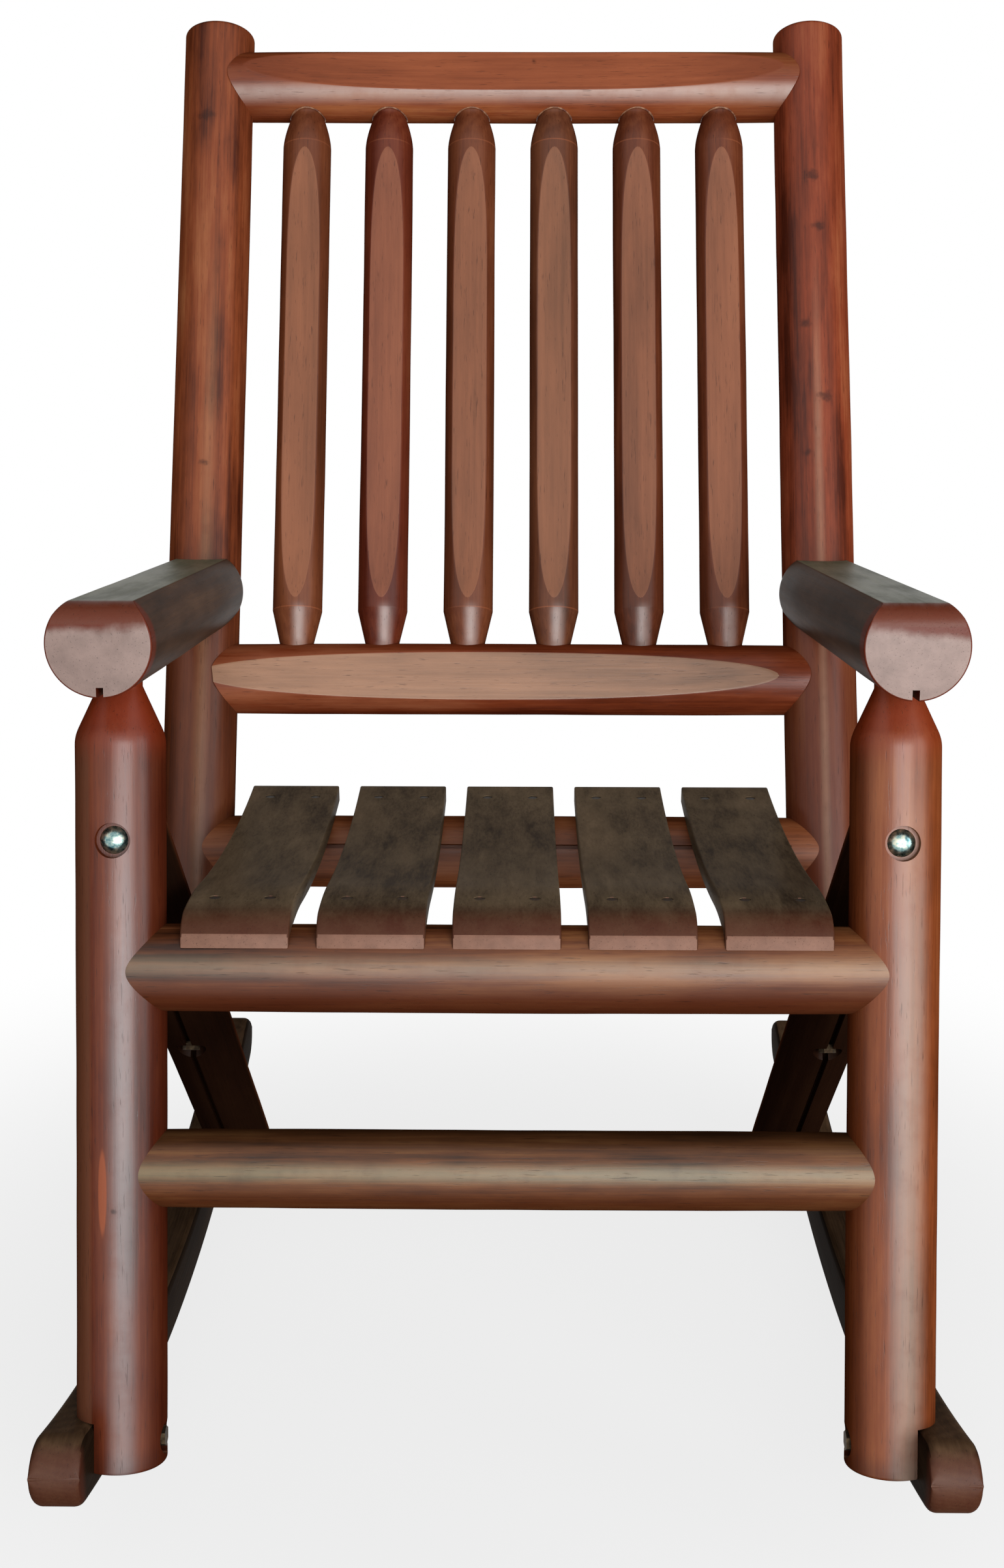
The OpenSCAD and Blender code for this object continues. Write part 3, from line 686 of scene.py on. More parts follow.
SPINDLE_TONES = stain((66, 27, 15), (104, 50, 30), (138, 78, 50), (154, 98, 70), (150, 92, 66))
# The arms' grey-green hewn tone is a painted sheen on their flat tops, and their pale greyish end tone is
# end grain with a painted reflection in it.
ARM_TONES_AND_PAINTED_SHEEN = stain((40, 28, 19), (72, 52, 39), (102, 77, 59), (94, 97, 78), (150, 128, 120))
SLAT_TONES = stain((62, 50, 38), (104, 88, 68), (130, 110, 86), (54, 34, 24), (134, 98, 82))
STRINGER_TONES = stain((56, 25, 14), (98, 50, 30), (128, 76, 48), (90, 46, 28), (110, 66, 46))
# The rockers' very dark hewn tone is painted shade on their flat sides.
ROCKER_TONES_AND_PAINTED_SIDE_SHADE = stain((46, 32, 21), (78, 58, 41), (104, 80, 58), (22, 14, 9), (82, 54, 40))

# Tints: axis across (0), away from the face (1) or along (2), where it starts and is full, strength, tone
ROLLED_EDGE = (2, 0.020, 0.010, 0.88, linear(98, 36, 18))
SLAT_EDGE = (2, 0.008, -0.026, 0.85, linear(72, 34, 22))
DARK_FOOT = (2, 0.022, 0.004, 0.5, linear(58, 24, 14))
WARM_TAPER = (2, 0.500, 0.540, 0.8, linear(126, 46, 22))
# Painted shade: the back posts darker towards their feet.
PAINTED_SHADE_LOW_POST = (2, 0.46, 0.26, 0.65, linear(80, 43, 27))
# Painted sheen: a lighter strip down the left leg's left edge.
LEG_PAINTED_EDGE_SHEEN = (0, -0.0150, -0.0185, 0.7, linear(104, 66, 48))
# Painted shade down the legs' sides: the left leg's right side and the right leg's left side.
LEG_PAINTED_SIDE_SHADE = (0, 0.014, 0.027, 0.6, linear(56, 20, 10))
RIGHT_LEG_PAINTED_SIDE_SHADE = (0, -0.016, -0.028, 0.5, linear(62, 26, 12))
# In the rails' own space the first axis points down
# Painted shade on the undersides of the front rail and stretcher, and on the stretcher's top.
FRONT_RAIL_PAINTED_UNDERSHADE = (0, -0.003, 0.020, 0.8, linear(78, 36, 20))
STRETCHER_PAINTED_UNDERSHADE = (0, 0.0, 0.020, 0.75, linear(74, 36, 20))
STRETCHER_PAINTED_TOP_SHADE = (0, -0.008, -0.024, 0.65, linear(42, 27, 16))
TOP_RAIL_ENDS = [(2, end * 0.15, end * 0.26, 0.5, linear(96, 38, 20)) for end in (-1, 1)]
# Painted shade on the stringers' undersides.
STRINGER_PAINTED_UNDERSHADE = (1, -0.012, 0.002, 0.92, linear(27, 17, 11))
RED_NOSE = (2, 0.022 - ROCKER_REACH, 0.006 - ROCKER_REACH, 0.7, linear(80, 42, 30))
SPINDLE_SHADES = [(2, -1.0, -0.9, 0.3, tone) for tone in (
    linear(122, 74, 46), linear(116, 44, 30), linear(110, 66, 42),
    linear(84, 66, 48), linear(98, 56, 36), linear(112, 62, 40))]

# Painted highlight down a log's front: its middle and width across, where it ends, strength and tone
LEG_PAINTED_HIGHLIGHT = (0.0056, 0.014, (0.30, 0.56), 0.38, linear(158, 152, 152))
RIGHT_LEG_PAINTED_HIGHLIGHT = (0.0070, 0.017, (0.30, 0.58), 0.42, linear(176, 158, 142))
LEFT_POST_PAINTED_HIGHLIGHT = (0.0050, 0.009, (0.50, 0.76), 0.26, linear(186, 140, 104))
RIGHT_POST_PAINTED_HIGHLIGHT = (-0.0020, 0.006, (0.50, 0.72), 0.34, linear(190, 150, 124))
FRONT_RAIL_PAINTED_HIGHLIGHT = (-0.005, 0.011, (0.6, 0.7), 0.26, linear(172, 154, 128))
STRETCHER_PAINTED_HIGHLIGHT = (-0.003, 0.010, (0.6, 0.7), 0.34, linear(168, 152, 112))
TOP_RAIL_PAINTED_HIGHLIGHT = (0.0180, 0.010, (0.6, 0.7), 0.6, linear(198, 178, 168))
CONE_PAINTED_HIGHLIGHT = (0.003, 0.009, (0.024, 0.037), 0.45, linear(196, 176, 168))

# Knots and scars: place in the log's own space and size, or width and length
LEG_KNOT = (0.0006, -0.0325, 0.189, 0.003)
LEG_SCAR = (-0.0076, -0.0316, 0.202, 0.0037, 0.034)
LEFT_POST_KNOTS = [
    (-0.0045, -0.0322, 0.679 - POST_FOOT, 0.010),
    (0.0015, -0.0325, 0.347 - POST_FOOT, 0.005),
]
RIGHT_POST_KNOTS = [
    (-0.0034, -0.0323, 0.620 - POST_FOOT, 0.010),
    (0.0018, -0.0325, 0.572 - POST_FOOT, 0.008),
    (-0.0116, -0.0303, 0.480 - POST_FOOT, 0.007),
    (0.0060, -0.0319, 0.410 - POST_FOOT, 0.009),
    (-0.0116, -0.0303, 0.358 - POST_FOOT, 0.006),
]
TOP_RAIL_KNOT = (-0.0156, -0.0202, 0.019, 0.004)


# Front legs

def leg_radius(z):
    if z > LEG_LEN:
        return LEG_TENON_R
    slope = (LEG_R - LEG_TENON_R) / LEG_TAPER
    past = z - (LEG_LEN - LEG_TAPER)
    if past > LEG_SHOULDER:
        return LEG_R - slope * past
    if past > -LEG_SHOULDER:
        return LEG_R - slope * (past + LEG_SHOULDER) ** 2 / (4 * LEG_SHOULDER)
    return eased(LEG_R, LEG_LEN, LEG_EASE, top=False)(z)


def front_leg(side_name, material, seed):
    side = SIDES[side_name]
    place = LEANED @ move(side * HALF, 0, 0)
    length = LEG_LEN + LEG_TENON_LEN
    taper_start = LEG_LEN - LEG_TAPER
    dense = rim(length, LEG_EASE, top=False) + [LEG_LEN, LEG_LEN + 1e-4]
    dense += list(np.linspace(taper_start - LEG_SHOULDER, taper_start + LEG_SHOULDER, 9))
    cutters = [
        rocker_pocket(side),
        rod(place @ move(0, -LEG_R, LEG_BOLT_Z) @ TO_REAR, COUNTERBORE_R, -PAST, COUNTERBORE_DEPTH),
        foot_counterbore(place, side, LEG_R, FOOT_BOLT_Z),
    ]
    z = stations(length, RING_STEP, dense)
    obj = log(f"leg_{side_name}", place, leg_radius, z, seed, cutters=cutters)
    dress(obj, place, material, [f"front_leg_{side_name}"])


# Armrests

def arm_flat(z):
    level = ARM_R - ARM_FLAT
    if z < ARM_ROLL:
        return level - ARM_ROLL + math.sqrt(max(ARM_ROLL ** 2 - (ARM_ROLL - z) ** 2, 0))
    return level


def armrest(side_name, material, seed):
    side = SIDES[side_name]
    place = along_arm(side) @ move(0, 0, -ARM_OVERHANG)
    length = ARM_OVERHANG + ARM_SPAN - ARM_REAR_GAP
    roll = [ARM_ROLL * (1 - math.cos(math.radians(a))) for a in range(10, 91, 10)]
    z = stations(length, RING_STEP, rim(length, ARM_EASE) + roll)
    cutters = [
        rod(IN_BACK @ move(side * HALF, 0, 0), POST_R - SEAT_IN, 0, THROUGH),
        under_kerf(place, ARM_R),
    ]
    obj = log(f"armrest_{side_name}", place, eased(ARM_R, length, ARM_EASE), z, seed, flat=arm_flat,
              cutters=cutters, around=128)
    dress(obj, place, material, [f"arm_{side_name}"])


# Back posts

def back_post(side_name, material, seed):
    side = SIDES[side_name]
    place = IN_BACK @ move(side * HALF, 0, POST_FOOT)
    length = TOP_RAIL_UP + POST_ABOVE - POST_FOOT
    z = stations(length, RING_STEP, rim(length, POST_EASE, foot=False))
    behind = along_arm(side) @ move(0, 0, ARM_SPAN + POST_R - COUNTERBORE_DEPTH)
    cutters = [
        rod(along_stringer(side), STRINGER_R - SEAT_IN, 0, THROUGH),
        rod(behind, COUNTERBORE_R, 0, COUNTERBORE_DEPTH + PAST),
    ]
    radius = eased(POST_R, length, POST_EASE, foot=False)
    obj = log(f"post_{side_name}", place, radius, z, seed, cutters=cutters)
    dress(obj, place, material, [f"back_post_{side_name}"])


# Rails across the chair

def cross_log(name, node, space, radius, upright_r, material, seed, flat=None, flat_turn=0.0, cutters=(),
              blunt=0.0):
    place = space @ TO_RIGHT
    reach = HALF - RAIL_END_GAP
    tip = TIP_RINGS * TIP_STEP
    tips = [end + TIP_STEP * k for end in (0, 2 * reach - tip) for k in range(TIP_RINGS)] if flat else ()
    z = stations(2 * reach, RING_STEP, tips) - reach

    def girth(v):
        return radius - RAIL_THINNING * (v / HALF) ** 4

    obj = log(name, place, girth, z, seed, flat=flat, flat_turn=flat_turn, ends=coped(upright_r, blunt),
              cutters=cutters, around=128 if flat else 96)
    dress(obj, place, material, [node])


def rails(material):
    cross_log("rail_seat_front", "seat_front_rail", LEANED @ move(0, 0, FRONT_RAIL_Z), RAIL_R, LEG_R,
              material["front_rail"], 21)
    low, high = REAR_KERF
    kerf = block(IN_BACK, (POST_R - HALF, -RAIL_R - PAST, low), (HALF - POST_R, KERF_DEPTH - RAIL_R, high))
    cross_log("rail_seat_rear", "seat_rear_rail", IN_BACK, RAIL_R, POST_R, material["rear_rail"], 22,
              cutters=[kerf])
    cross_log("stretcher", "lower_stretcher", LEANED @ move(0, 0, STRETCHER_Z), STRETCHER_R, LEG_R,
              material["stretcher"], 23)
    # A flat that looks up turns the other way about its rail's axis
    cross_log("rail_back_low", "lower_back_rail", IN_BACK @ move(0, 0, LOW_RAIL_UP), RAIL_R, POST_R,
              material["low_rail"], 24, flat_turn=-LOW_FLAT_TURN, blunt=RAIL_BLUNT,
              flat=hand_flat(RAIL_R, 2 * HALF - 0.2 * POST_R, LOW_FLAT, LOW_FLAT_MIDDLE, 2))
    cross_log("rail_back_top", "top_back_rail", IN_BACK @ move(0, 0, TOP_RAIL_UP), RAIL_R, POST_R,
              material["top_rail"], 25, flat_turn=-TOP_FLAT_TURN, blunt=RAIL_BLUNT,
              flat=hand_flat(RAIL_R, 2 * HALF - POST_R, TOP_FLAT, 0, 3))


# Spindles

SPINDLE_CLEAR = TOP_RAIL_UP - LOW_RAIL_UP - 2 * RAIL_R


def spindle_radius(z):
    near = min(z, SPINDLE_CLEAR - z)
    if near <= 0:
        return NECK_R
    if near < SPINDLE_TAPER:
        share = near / SPINDLE_TAPER
        if z > SPINDLE_CLEAR / 2:
            share = 1 - (1 - share) ** 1.6
        return NECK_R + (SPINDLE_R - NECK_R) * share
    return SPINDLE_R


def spindle(number, material, seed):
    place = IN_BACK @ move((number - (SPINDLE_COUNT + 1) / 2) * SPINDLE_PITCH, 0, LOW_RAIL_UP + RAIL_R)
    body = SPINDLE_CLEAR - 2 * SPINDLE_TAPER
    near = [0, 0.004, 0.009, 0.014, 0.019, 0.024] + [SPINDLE_TAPER + d for d in (-0.0012, 0, 0.0012)]
    near += list(np.linspace(SPINDLE_TAPER + 0.01 * body, SPINDLE_TAPER + 0.12 * body, 16))
    dense = [v + NECK_IN for v in near] + [SPINDLE_CLEAR + NECK_IN - v for v in near]
    z = stations(SPINDLE_CLEAR + 2 * NECK_IN, RING_STEP, dense) - NECK_IN
    flat = hand_flat(SPINDLE_R, body * 0.98, SPINDLE_FLAT, SPINDLE_CLEAR / 2, 5)
    obj = log(f"spindle_{number}_log", place, spindle_radius, z, seed, flat=flat, depth=0.0005)
    dress(obj, place, material, [f"spindle_{number}"])


def bead(number, material):
    """Thin uneven line of dried glue round a spindle's neck, where it enters the top rail."""
    place = IN_BACK @ move((number - (SPINDLE_COUNT + 1) / 2) * SPINDLE_PITCH, 0, TOP_RAIL_UP)
    up = Vector((0, 0, 1))
    reach = NECK_R + BEAD_OUT
    rings = []
    for a in np.linspace(0, 2 * math.pi, 72, endpoint=False):
        depth = -reach * math.cos(a)
        middle = Vector((reach * math.sin(a), depth, -math.sqrt(RAIL_R ** 2 - depth ** 2)))
        thick = BEAD_R + BEAD_UNEVEN * math.sin(3 * a + number) * math.sin(5 * a + 2 * number)
        outward = Vector((math.sin(a), -math.cos(a), 0))
        rings.append([middle + thick * (outward * math.cos(b) + up * math.sin(b))
                      for b in np.linspace(0, 2 * math.pi, 8, endpoint=False)])
    faces = side_faces(len(rings), 8, looped=True)
    obj = closed_mesh(f"bead_{number}", [p for ring in rings for p in ring], faces, place)
    dress(obj, place, material, [])


def glue():
    n = Nodes("dried_glue")
    own = n.add("ShaderNodeAttribute", attribute_name="grain").outputs["Vector"]
    patches = n.noise(own, (220, 220, 220), detail=3)
    n.join(n.ramp(patches, [(0.4, linear(96, 48, 30)), (0.62, linear(168, 122, 90))]), "Base Color")
    n.shader.inputs["Roughness"].default_value = 0.5
    return n.material


# Stringers

def stringer(side_name, material, seed):
    side = SIDES[side_name]
    place = along_stringer(side)
    reach = ROCKER_RADIUS - ROCKER_HEIGHT / 2
    centre = LEANED.inverted() @ Vector((0, 0, ROCKER_RADIUS))
    to_arc = Vector((-centre.y, STRINGER_Z - centre.z))
    along = to_arc.dot(Vector((math.cos(STRINGER_FALL), -math.sin(STRINGER_FALL))))
    bolt = -along + math.sqrt(along ** 2 - to_arc.length_squared + reach ** 2)
    foot_turn = math.asin((place @ Vector((0, 0, bolt))).y / reach)
    below = move(0, 0, ROCKER_RADIUS) @ turn(foot_turn, "X")
    under = IN_BACK @ move(side * HALF, 0, FOOT_CROSS - STRINGER_SKIN)
    sole = FLOOR_GAP - ROCKER_RADIUS
    cutters = [
        rod(LEANED @ move(side * HALF, 0, 0), LEG_R - SEAT_IN, 0, LEG_LEN),
        block(below, (-THROUGH, -THROUGH, sole - THROUGH), (THROUGH, THROUGH, sole)),
        rocker_pocket(side),
        under_kerf(place, STRINGER_R),
        rod(under, COUNTERBORE_R, -PAST, COUNTERBORE_DEPTH),
        foot_counterbore(place, side, STRINGER_R, bolt),
    ]
    z = stations(bolt + 2 * STRINGER_R, 0.01)
    obj = log(f"stringer_{side_name}_log", place, lambda v: STRINGER_R, z, seed, cutters=cutters)
    dress(obj, place, material, [f"stringer_{side_name}"])


# Rockers

def rounded_section(width, height, edge):
    """Points of a rectangle with rounded corners, x across and y up."""
    points = []
    for cx, cy, start in ((1, 1, 0), (-1, 1, 90), (-1, -1, 180), (1, -1, 270)):
        for a in np.radians(np.linspace(start, start + 90, 7)):
            points.append((cx * (width / 2 - edge) + edge * math.cos(a),
                           cy * (height / 2 - edge) + edge * math.sin(a)))
    return np.array(points)


def rocker(side_name, material):
    side = SIDES[side_name]
    mid_r = ROCKER_RADIUS - ROCKER_HEIGHT / 2
    half_h = ROCKER_HEIGHT / 2
    nose = math.asin((ROCKER_REACH - half_h) / mid_r)

    def ring(at, ahead, tall):
        section = rounded_section(ROCKER_THICK, 2 * tall, min(ROCKER_EDGE, tall * 0.98))
        radial = Vector((0, math.sin(at), -math.cos(at)))
        tangent = Vector((0, math.cos(at), math.sin(at)))
        middle = Vector((0, 0, ROCKER_RADIUS)) + radial * mid_r + tangent * ahead
        return np.array([[x, middle.y - y * radial.y, middle.z - y * radial.z] for x, y in section])

    def cap(at, ahead, angles):
        return [ring(at, ahead * math.sin(a), half_h * math.cos(a)) for a in np.radians(angles)]

    angles = (86, 78, 70, 60, 50, 40, 30, 20, 10)
    rings = cap(-nose, -half_h, angles)
    rings += [ring(at, 0, half_h) for at in np.linspace(-nose, nose, 120)]
    rings += cap(nose, half_h, angles[::-1])
    place = move(side * (ROCKER_INNER + ROCKER_THICK / 2), 0, 0)
    obj = shell(f"rocker_{side_name}_board", rings, place)
    # The rocker's flat sides are marked as hewn so that they take the stain's very dark hewn tone: painted
    # shade.
    painted_shade_sides = np.array([abs(p.normal.x) > 0.7 for p in obj.data.polygons], np.float32)
    obj.data.attributes.new("hewn", "FLOAT", "FACE").data.foreach_set("value", painted_shade_sides)
    dress(obj, place @ TO_REAR, material, [f"rocker_{side_name}"], sawn=2)


# Seat slats

def seat_profile():
    """Functions for the height and slope of the seat's top, in the leaned space."""
    front_top = FRONT_RAIL_Z + RAIL_R + SLAT_T - SLAT_SUNK + BROW_REACH ** 2 / (2 * BROW_RADIUS)
    rear_slope = (REAR_RAIL_Z - FRONT_RAIL_Z) / SEAT_DEPTH + SEAT_DEPTH / (2 * SCOOP_RADIUS)
    rear_top = REAR_RAIL_Z + (RAIL_R + SLAT_T - SLAT_SUNK) / math.cos(math.atan(rear_slope))
    front_slope = (rear_top - front_top) / SEAT_DEPTH - SEAT_DEPTH / (2 * SCOOP_RADIUS)

    def height(y):
        drop = max(BROW_REACH - y, 0) ** 2 / (2 * BROW_RADIUS)
        return front_top + front_slope * y + y * y / (2 * SCOOP_RADIUS) - drop

    def slope(y):
        return front_slope + y / SCOOP_RADIUS + max(BROW_REACH - y, 0) / BROW_RADIUS

    return height, slope


def slat_outline():
    """Side outline of a slat as (y, z): rolled front edge, top, underside and low front corner."""
    height, slope = seat_profile()
    roll_y = -SLAT_FRONT - SLAT_ROLL * math.cos(SLAT_ROLL_START)
    stop = math.pi / 2 + math.atan(slope(roll_y))
    roll_end = roll_y + SLAT_ROLL * math.cos(stop)
    roll_z = height(roll_end) - SLAT_ROLL * math.sin(stop)
    roll = [(roll_y + SLAT_ROLL * math.cos(a), roll_z + SLAT_ROLL * math.sin(a))
            for a in np.linspace(SLAT_ROLL_START, stop, 12)[:-1]]
    along = np.linspace(roll_end, SEAT_DEPTH + SLAT_REAR, 44)
    top = [(y, height(y)) for y in along]
    under = []
    for y in along[::-1]:
        rise = math.atan(slope(y))
        under.append((y + SLAT_T * math.sin(rise), height(y) - SLAT_T * math.cos(rise)))
    return roll + top + under + [(roll[0][0], roll[0][1] - SLAT_FACE)]


def slat(number, material):
    x = (number - (SLAT_COUNT + 1) / 2) * SLAT_PITCH
    place = LEANED @ move(x, 0, 0)
    outline = np.array(slat_outline())
    near = np.column_stack([np.full(len(outline), -SLAT_W / 2), outline])
    obj = prism(near, near + (SLAT_W, 0, 0), place)
    obj.name = f"slat_{number}"
    soften(obj, SLAT_EASE)
    cutters = [
        rod(LEANED @ move(0, y, z) @ TO_RIGHT, RAIL_R, -HALF, HALF, 128)
        for y, z in ((0, FRONT_RAIL_Z), (SEAT_DEPTH, REAR_RAIL_Z))
    ]
    height, slope = seat_profile()
    for y in SCREW_YS:
        for across in (-SCREW_SPACING / 2, SCREW_SPACING / 2):
            hole = place @ move(across, y, height(y)) @ turn(math.atan(slope(y)), "X")
            cutters.append(rod(hole, SCREW_HEAD_R, -SCREW_SUNK, PAST, 24))
    carve(obj, cutters)
    grain = LEANED @ move(x, 0, FRONT_RAIL_Z) @ TO_REAR
    dress(obj, grain, material, [f"seat_slat_{number}"], sharp=math.radians(35), sawn=0.95)


# Metal

def zinc(name, tones, rough):
    n = Nodes(name)
    where = n.add("ShaderNodeTexCoord").outputs["Object"]
    mottle = n.noise(where, (260, 260, 260), detail=4)
    colour = n.ramp(mottle, list(zip((0.34, 0.5, 0.64), tones)))
    n.join(colour, "Base Color")
    n.join(n.band(mottle, 0.3, 0.7, rough - 0.06, rough + 0.08), "Roughness")
    bump = n.add("ShaderNodeBump", {"Height": mottle, "Strength": 0.35, "Distance": 0.0003})
    n.join(bump.outputs["Normal"], "Normal")
    n.shader.inputs["Metallic"].default_value = 1.0
    return n.material


BRIGHT_ZINC = (linear(78, 122, 130), linear(150, 178, 174), linear(214, 216, 196))
DULL_SCREW = (linear(34, 26, 20), linear(50, 40, 31), linear(66, 54, 42))
# Darker zinc for the bolts, nuts and washers other than the leg bolts and slat screws.
DIM_ZINC = (linear(44, 34, 26), linear(66, 54, 42), linear(92, 78, 60))


def dress_hardware():
    """Gives the bolts, nuts, washers and screws of the frame their metal."""
    metal = {
        "leg_carriage_bolts": zinc("bright_zinc", BRIGHT_ZINC, 0.30),
        "slat_screws": zinc("dull_screw", DULL_SCREW, 0.55),
    }
    dim = zinc("dim_zinc", DIM_ZINC, 0.65)
    for name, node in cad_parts.items():
        if any(word in name for word in ("bolt", "nut", "washer", "screw")):
            node.data.materials.clear()
            node.data.materials.append(metal.get(name, dim))


# The chair

def log_stains():
    return {
        "leg_left": wood(
            "stain_leg_left", LEG_TONES, shine=0.5, streaky=0.35, offset=0.3,
            tints=[LEG_PAINTED_EDGE_SHEEN, LEG_PAINTED_SIDE_SHADE, DARK_FOOT, WARM_TAPER], painted_highlights=[LEG_PAINTED_HIGHLIGHT],
            knots=[LEG_KNOT], scars=[LEG_SCAR]),
        "leg_right": wood(
            "stain_leg_right", RIGHT_LEG_TONES, gloss=0.38, shine=0.5, streaky=0.35, offset=1.1,
            tints=[RIGHT_LEG_PAINTED_SIDE_SHADE, DARK_FOOT, WARM_TAPER], painted_highlights=[RIGHT_LEG_PAINTED_HIGHLIGHT]),
        "post_left": wood(
            "stain_post_left", LEFT_POST_TONES, shine=0.36, streaky=0.6, offset=2.3,
            tints=[PAINTED_SHADE_LOW_POST], painted_highlights=[LEFT_POST_PAINTED_HIGHLIGHT], knots=LEFT_POST_KNOTS),
        "post_right": wood(
            "stain_post_right", RIGHT_POST_TONES, shine=0.36, streaky=0.6, offset=3.7,
            tints=[PAINTED_SHADE_LOW_POST], painted_highlights=[RIGHT_POST_PAINTED_HIGHLIGHT], knots=RIGHT_POST_KNOTS),
        "front_rail": wood(
            "stain_front_rail", FRONT_RAIL_TONES, gloss=0.42, streaky=0.7, offset=4.1,
            tints=[FRONT_RAIL_PAINTED_UNDERSHADE], painted_highlights=[FRONT_RAIL_PAINTED_HIGHLIGHT]),
        "stretcher": wood(
            "stain_stretcher", STRETCHER_TONES, gloss=0.42, streaky=0.8, offset=4.4,
            tints=[STRETCHER_PAINTED_UNDERSHADE, STRETCHER_PAINTED_TOP_SHADE], painted_highlights=[STRETCHER_PAINTED_HIGHLIGHT]),
        "rear_rail": wood("stain_rear_rail", REAR_RAIL_TONES, gloss=0.42, offset=4.6),
        "low_rail": wood("stain_low_rail", LOW_RAIL_TONES, offset=5.2),
        "top_rail": wood(
            "stain_top_rail", TOP_RAIL_TONES, offset=6.4,
            tints=TOP_RAIL_ENDS, painted_highlights=[TOP_RAIL_PAINTED_HIGHLIGHT], knots=[TOP_RAIL_KNOT]),
        "arm_left": wood(
            "stain_arm_left", ARM_TONES_AND_PAINTED_SHEEN, gloss=0.42, shine=0.25, polished=0.08, veil=0.3, offset=7.7,
            tints=[ROLLED_EDGE], bare=(-0.011, -0.03)),
        "arm_right": wood(
            "stain_arm_right", ARM_TONES_AND_PAINTED_SHEEN, gloss=0.42, shine=0.25, polished=0.08, veil=0.3, offset=8.5,
            tints=[ROLLED_EDGE], bare=(-0.009, 0.08)),
        "stringer": wood(
            "stain_stringer", STRINGER_TONES, gloss=0.5, shine=0.08, offset=9.3, tints=[STRINGER_PAINTED_UNDERSHADE]),
        "rocker": wood(
            "stain_rocker", ROCKER_TONES_AND_PAINTED_SIDE_SHADE, gloss=0.5, shine=0.2, veil=0.05, offset=10.9, tints=[RED_NOSE]),
    }


def build_chair():
    material = log_stains()
    for seed, name in enumerate(SIDES):
        front_leg(name, material[f"leg_{name}"], 11 + seed)
        armrest(name, material[f"arm_{name}"], 13 + seed)
        back_post(name, material[f"post_{name}"], 15 + seed)
        stringer(name, material["stringer"], 17 + seed)
        rocker(name, material["rocker"])
    rails(material)
    dried = glue()
    for number in range(1, SPINDLE_COUNT + 1):
        stained = wood(
            f"stain_spindle_{number}", SPINDLE_TONES, offset=12 + 1.3 * number, painted_highlights=[CONE_PAINTED_HIGHLIGHT],
            tints=[SPINDLE_SHADES[number - 1]], turned=(SPINDLE_TAPER, SPINDLE_CLEAR - SPINDLE_TAPER))
        spindle(number, stained, 30 + number)
        bead(number, dried)
    for number in range(1, SLAT_COUNT + 1):
        stained = wood(
            f"stain_slat_{number}", SLAT_TONES, gloss=0.45, shine=0.14, veil=0.15, ringed=0.0,
            offset=22 + 1.7 * number, tints=[SLAT_EDGE])
        slat(number, stained)
    dress_hardware()


# Studio

def softbox(name, location, target, size, power):
    data = bpy.data.lights.new(name, "AREA")
    data.shape = "RECTANGLE"
    data.size, data.size_y = size
    data.energy = power
    lamp = bpy.data.objects.new(name, data)
    lamp.location = location
    lamp.rotation_euler = (Vector(target) - Vector(location)).to_track_quat("-Z", "Y").to_euler()
    bpy.context.scene.collection.objects.link(lamp)


def seen_rays(tree):
    """1 for rays by which the camera, a gloss or a clear thing sees a place, otherwise 0."""
    rays = tree.nodes.new("ShaderNodeLightPath")
    total = rays.outputs["Is Camera Ray"]
    for kind in ("Is Glossy Ray", "Is Transmission Ray"):
        either = tree.nodes.new("ShaderNodeMath")
        either.operation = "MAXIMUM"
        tree.links.new(total, either.inputs[0])
        tree.links.new(rays.outputs[kind], either.inputs[1])
        total = either.outputs[0]
    return total


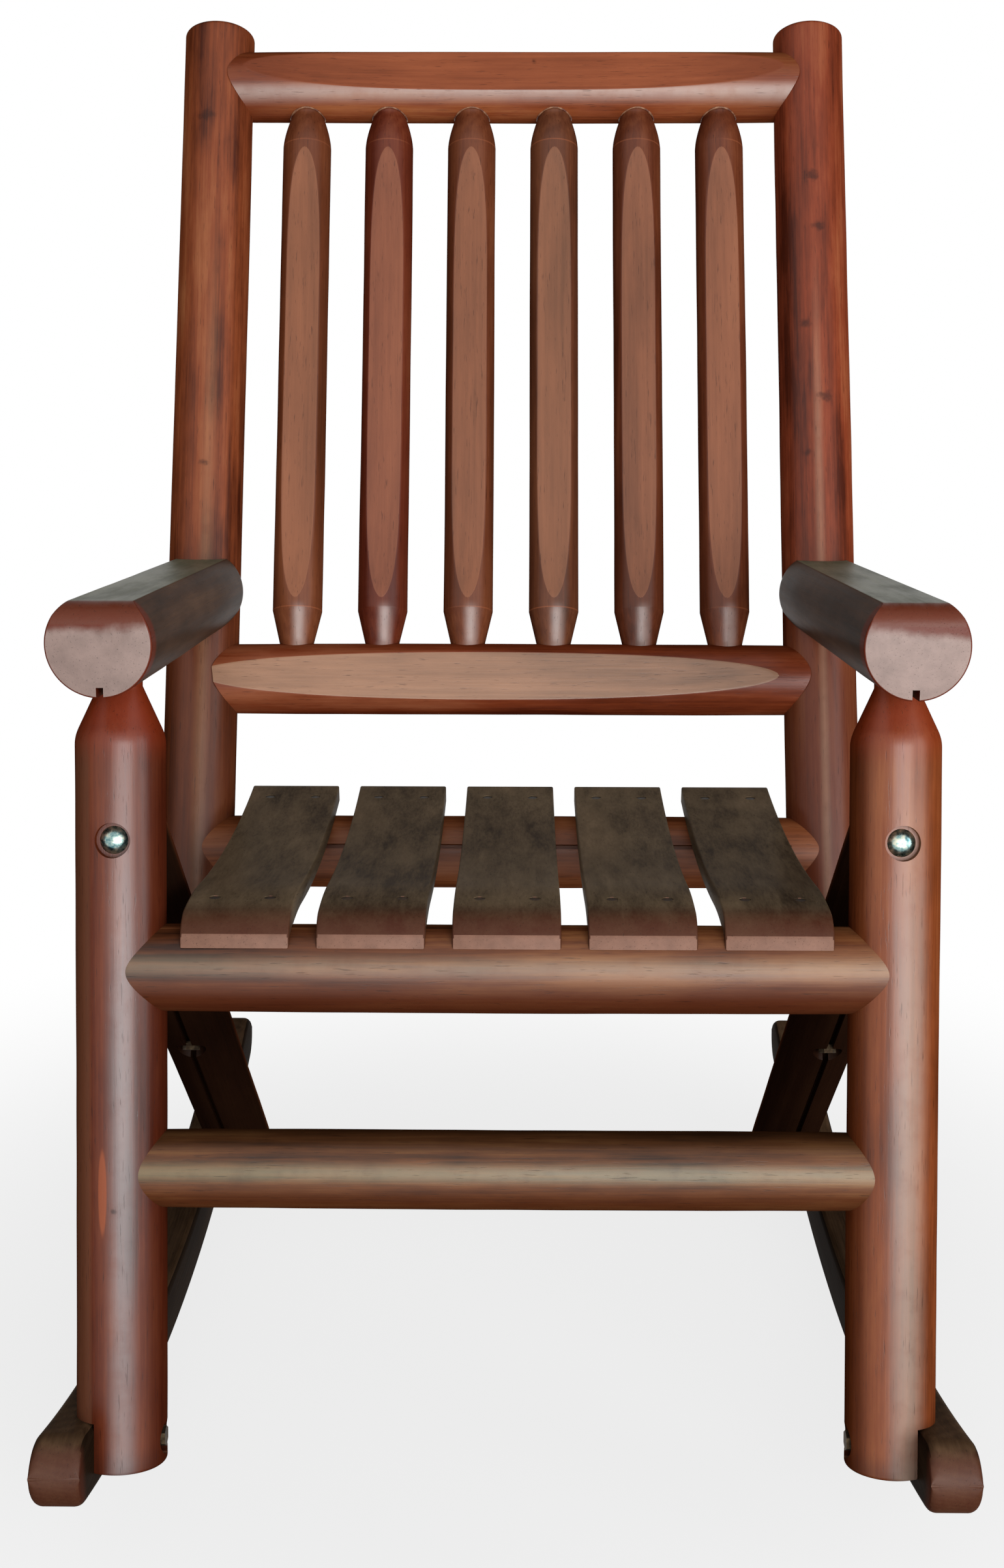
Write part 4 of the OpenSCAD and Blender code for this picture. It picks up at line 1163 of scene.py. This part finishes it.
def studio():
    world = bpy.data.worlds.new("studio")
    bpy.context.scene.world = world
    world.use_nodes = True
    tree = world.node_tree
    background = tree.nodes["Background"]
    strength = tree.nodes.new("ShaderNodeMapRange")
    strength.inputs["To Min"].default_value = 0.26
    strength.inputs["To Max"].default_value = 1.0
    tree.links.new(seen_rays(tree), strength.inputs["Value"])
    background.inputs["Color"].default_value = (1, 1, 1, 1)
    tree.links.new(strength.outputs["Result"], background.inputs["Strength"])
    softbox("window", (0.6, -2.6, 0.80), (0.05, 0, 0.6), (2.0, 1.5), 60)
    softbox("side", (1.6, -1.0, 0.75), (0.2, 0, 0.6), (0.5, 1.3), 8)
    floor()


def floor():
    """Pale floor that keeps the chair's soft shadow and turns white away from it."""
    mesh = bpy.data.meshes.new("floor")
    mesh.from_pydata([(-9, -9, 0), (9, -9, 0), (9, 9, 0), (-9, 9, 0)], [], [(0, 1, 2, 3)])
    ground = bpy.data.objects.new("floor", mesh)
    bpy.context.scene.collection.objects.link(ground)
    n = Nodes("floor_paint")
    here = n.add("ShaderNodeTexCoord").outputs["Object"]
    grit = n.noise(here, (3, 3, 3))
    n.join(n.ramp(grit, [(0.3, (0.44, 0.44, 0.44)), (0.7, (0.48, 0.48, 0.48))]), "Base Color")
    n.shader.inputs["Roughness"].default_value = 0.9
    n.shader.inputs["Specular IOR Level"].default_value = 0.1
    away = n.add("ShaderNodeVectorMath", {0: here}, operation="LENGTH").outputs["Value"]
    white = n.math("MULTIPLY", seen_rays(n.tree), n.band(away, 0.35, 1.1, 0.8, 1.0))
    glow = n.add("ShaderNodeEmission", {"Color": (1, 1, 1, 1), "Strength": 1.0})
    both = n.add("ShaderNodeMixShader", {0: white, 1: n.shader.outputs[0], 2: glow.outputs[0]})
    n.tree.links.new(both.outputs[0], n.tree.nodes["Material Output"].inputs["Surface"])
    ground.data.materials.append(n.material)


def camera():
    """View from the front: level with the armrests, just right of the middle, looking down a little."""
    pitch = math.radians(1.73)
    yaw = math.radians(-0.57)
    roll = math.radians(0.19)
    data = bpy.data.cameras.new("camera")
    data.sensor_width = 36
    data.lens = 43.86
    data.clip_start = 0.05
    cam = bpy.data.objects.new("camera", data)
    look = turn(-yaw, "Z") @ turn(math.radians(90) - pitch, "X") @ turn(roll, "Z")
    cam.matrix_world = LEANED @ move(0.0097, -1.366, 0.532) @ look
    bpy.context.scene.collection.objects.link(cam)
    bpy.context.scene.camera = cam


build_chair()
studio()
camera()
bpy.context.scene.view_settings.view_transform = "Standard"
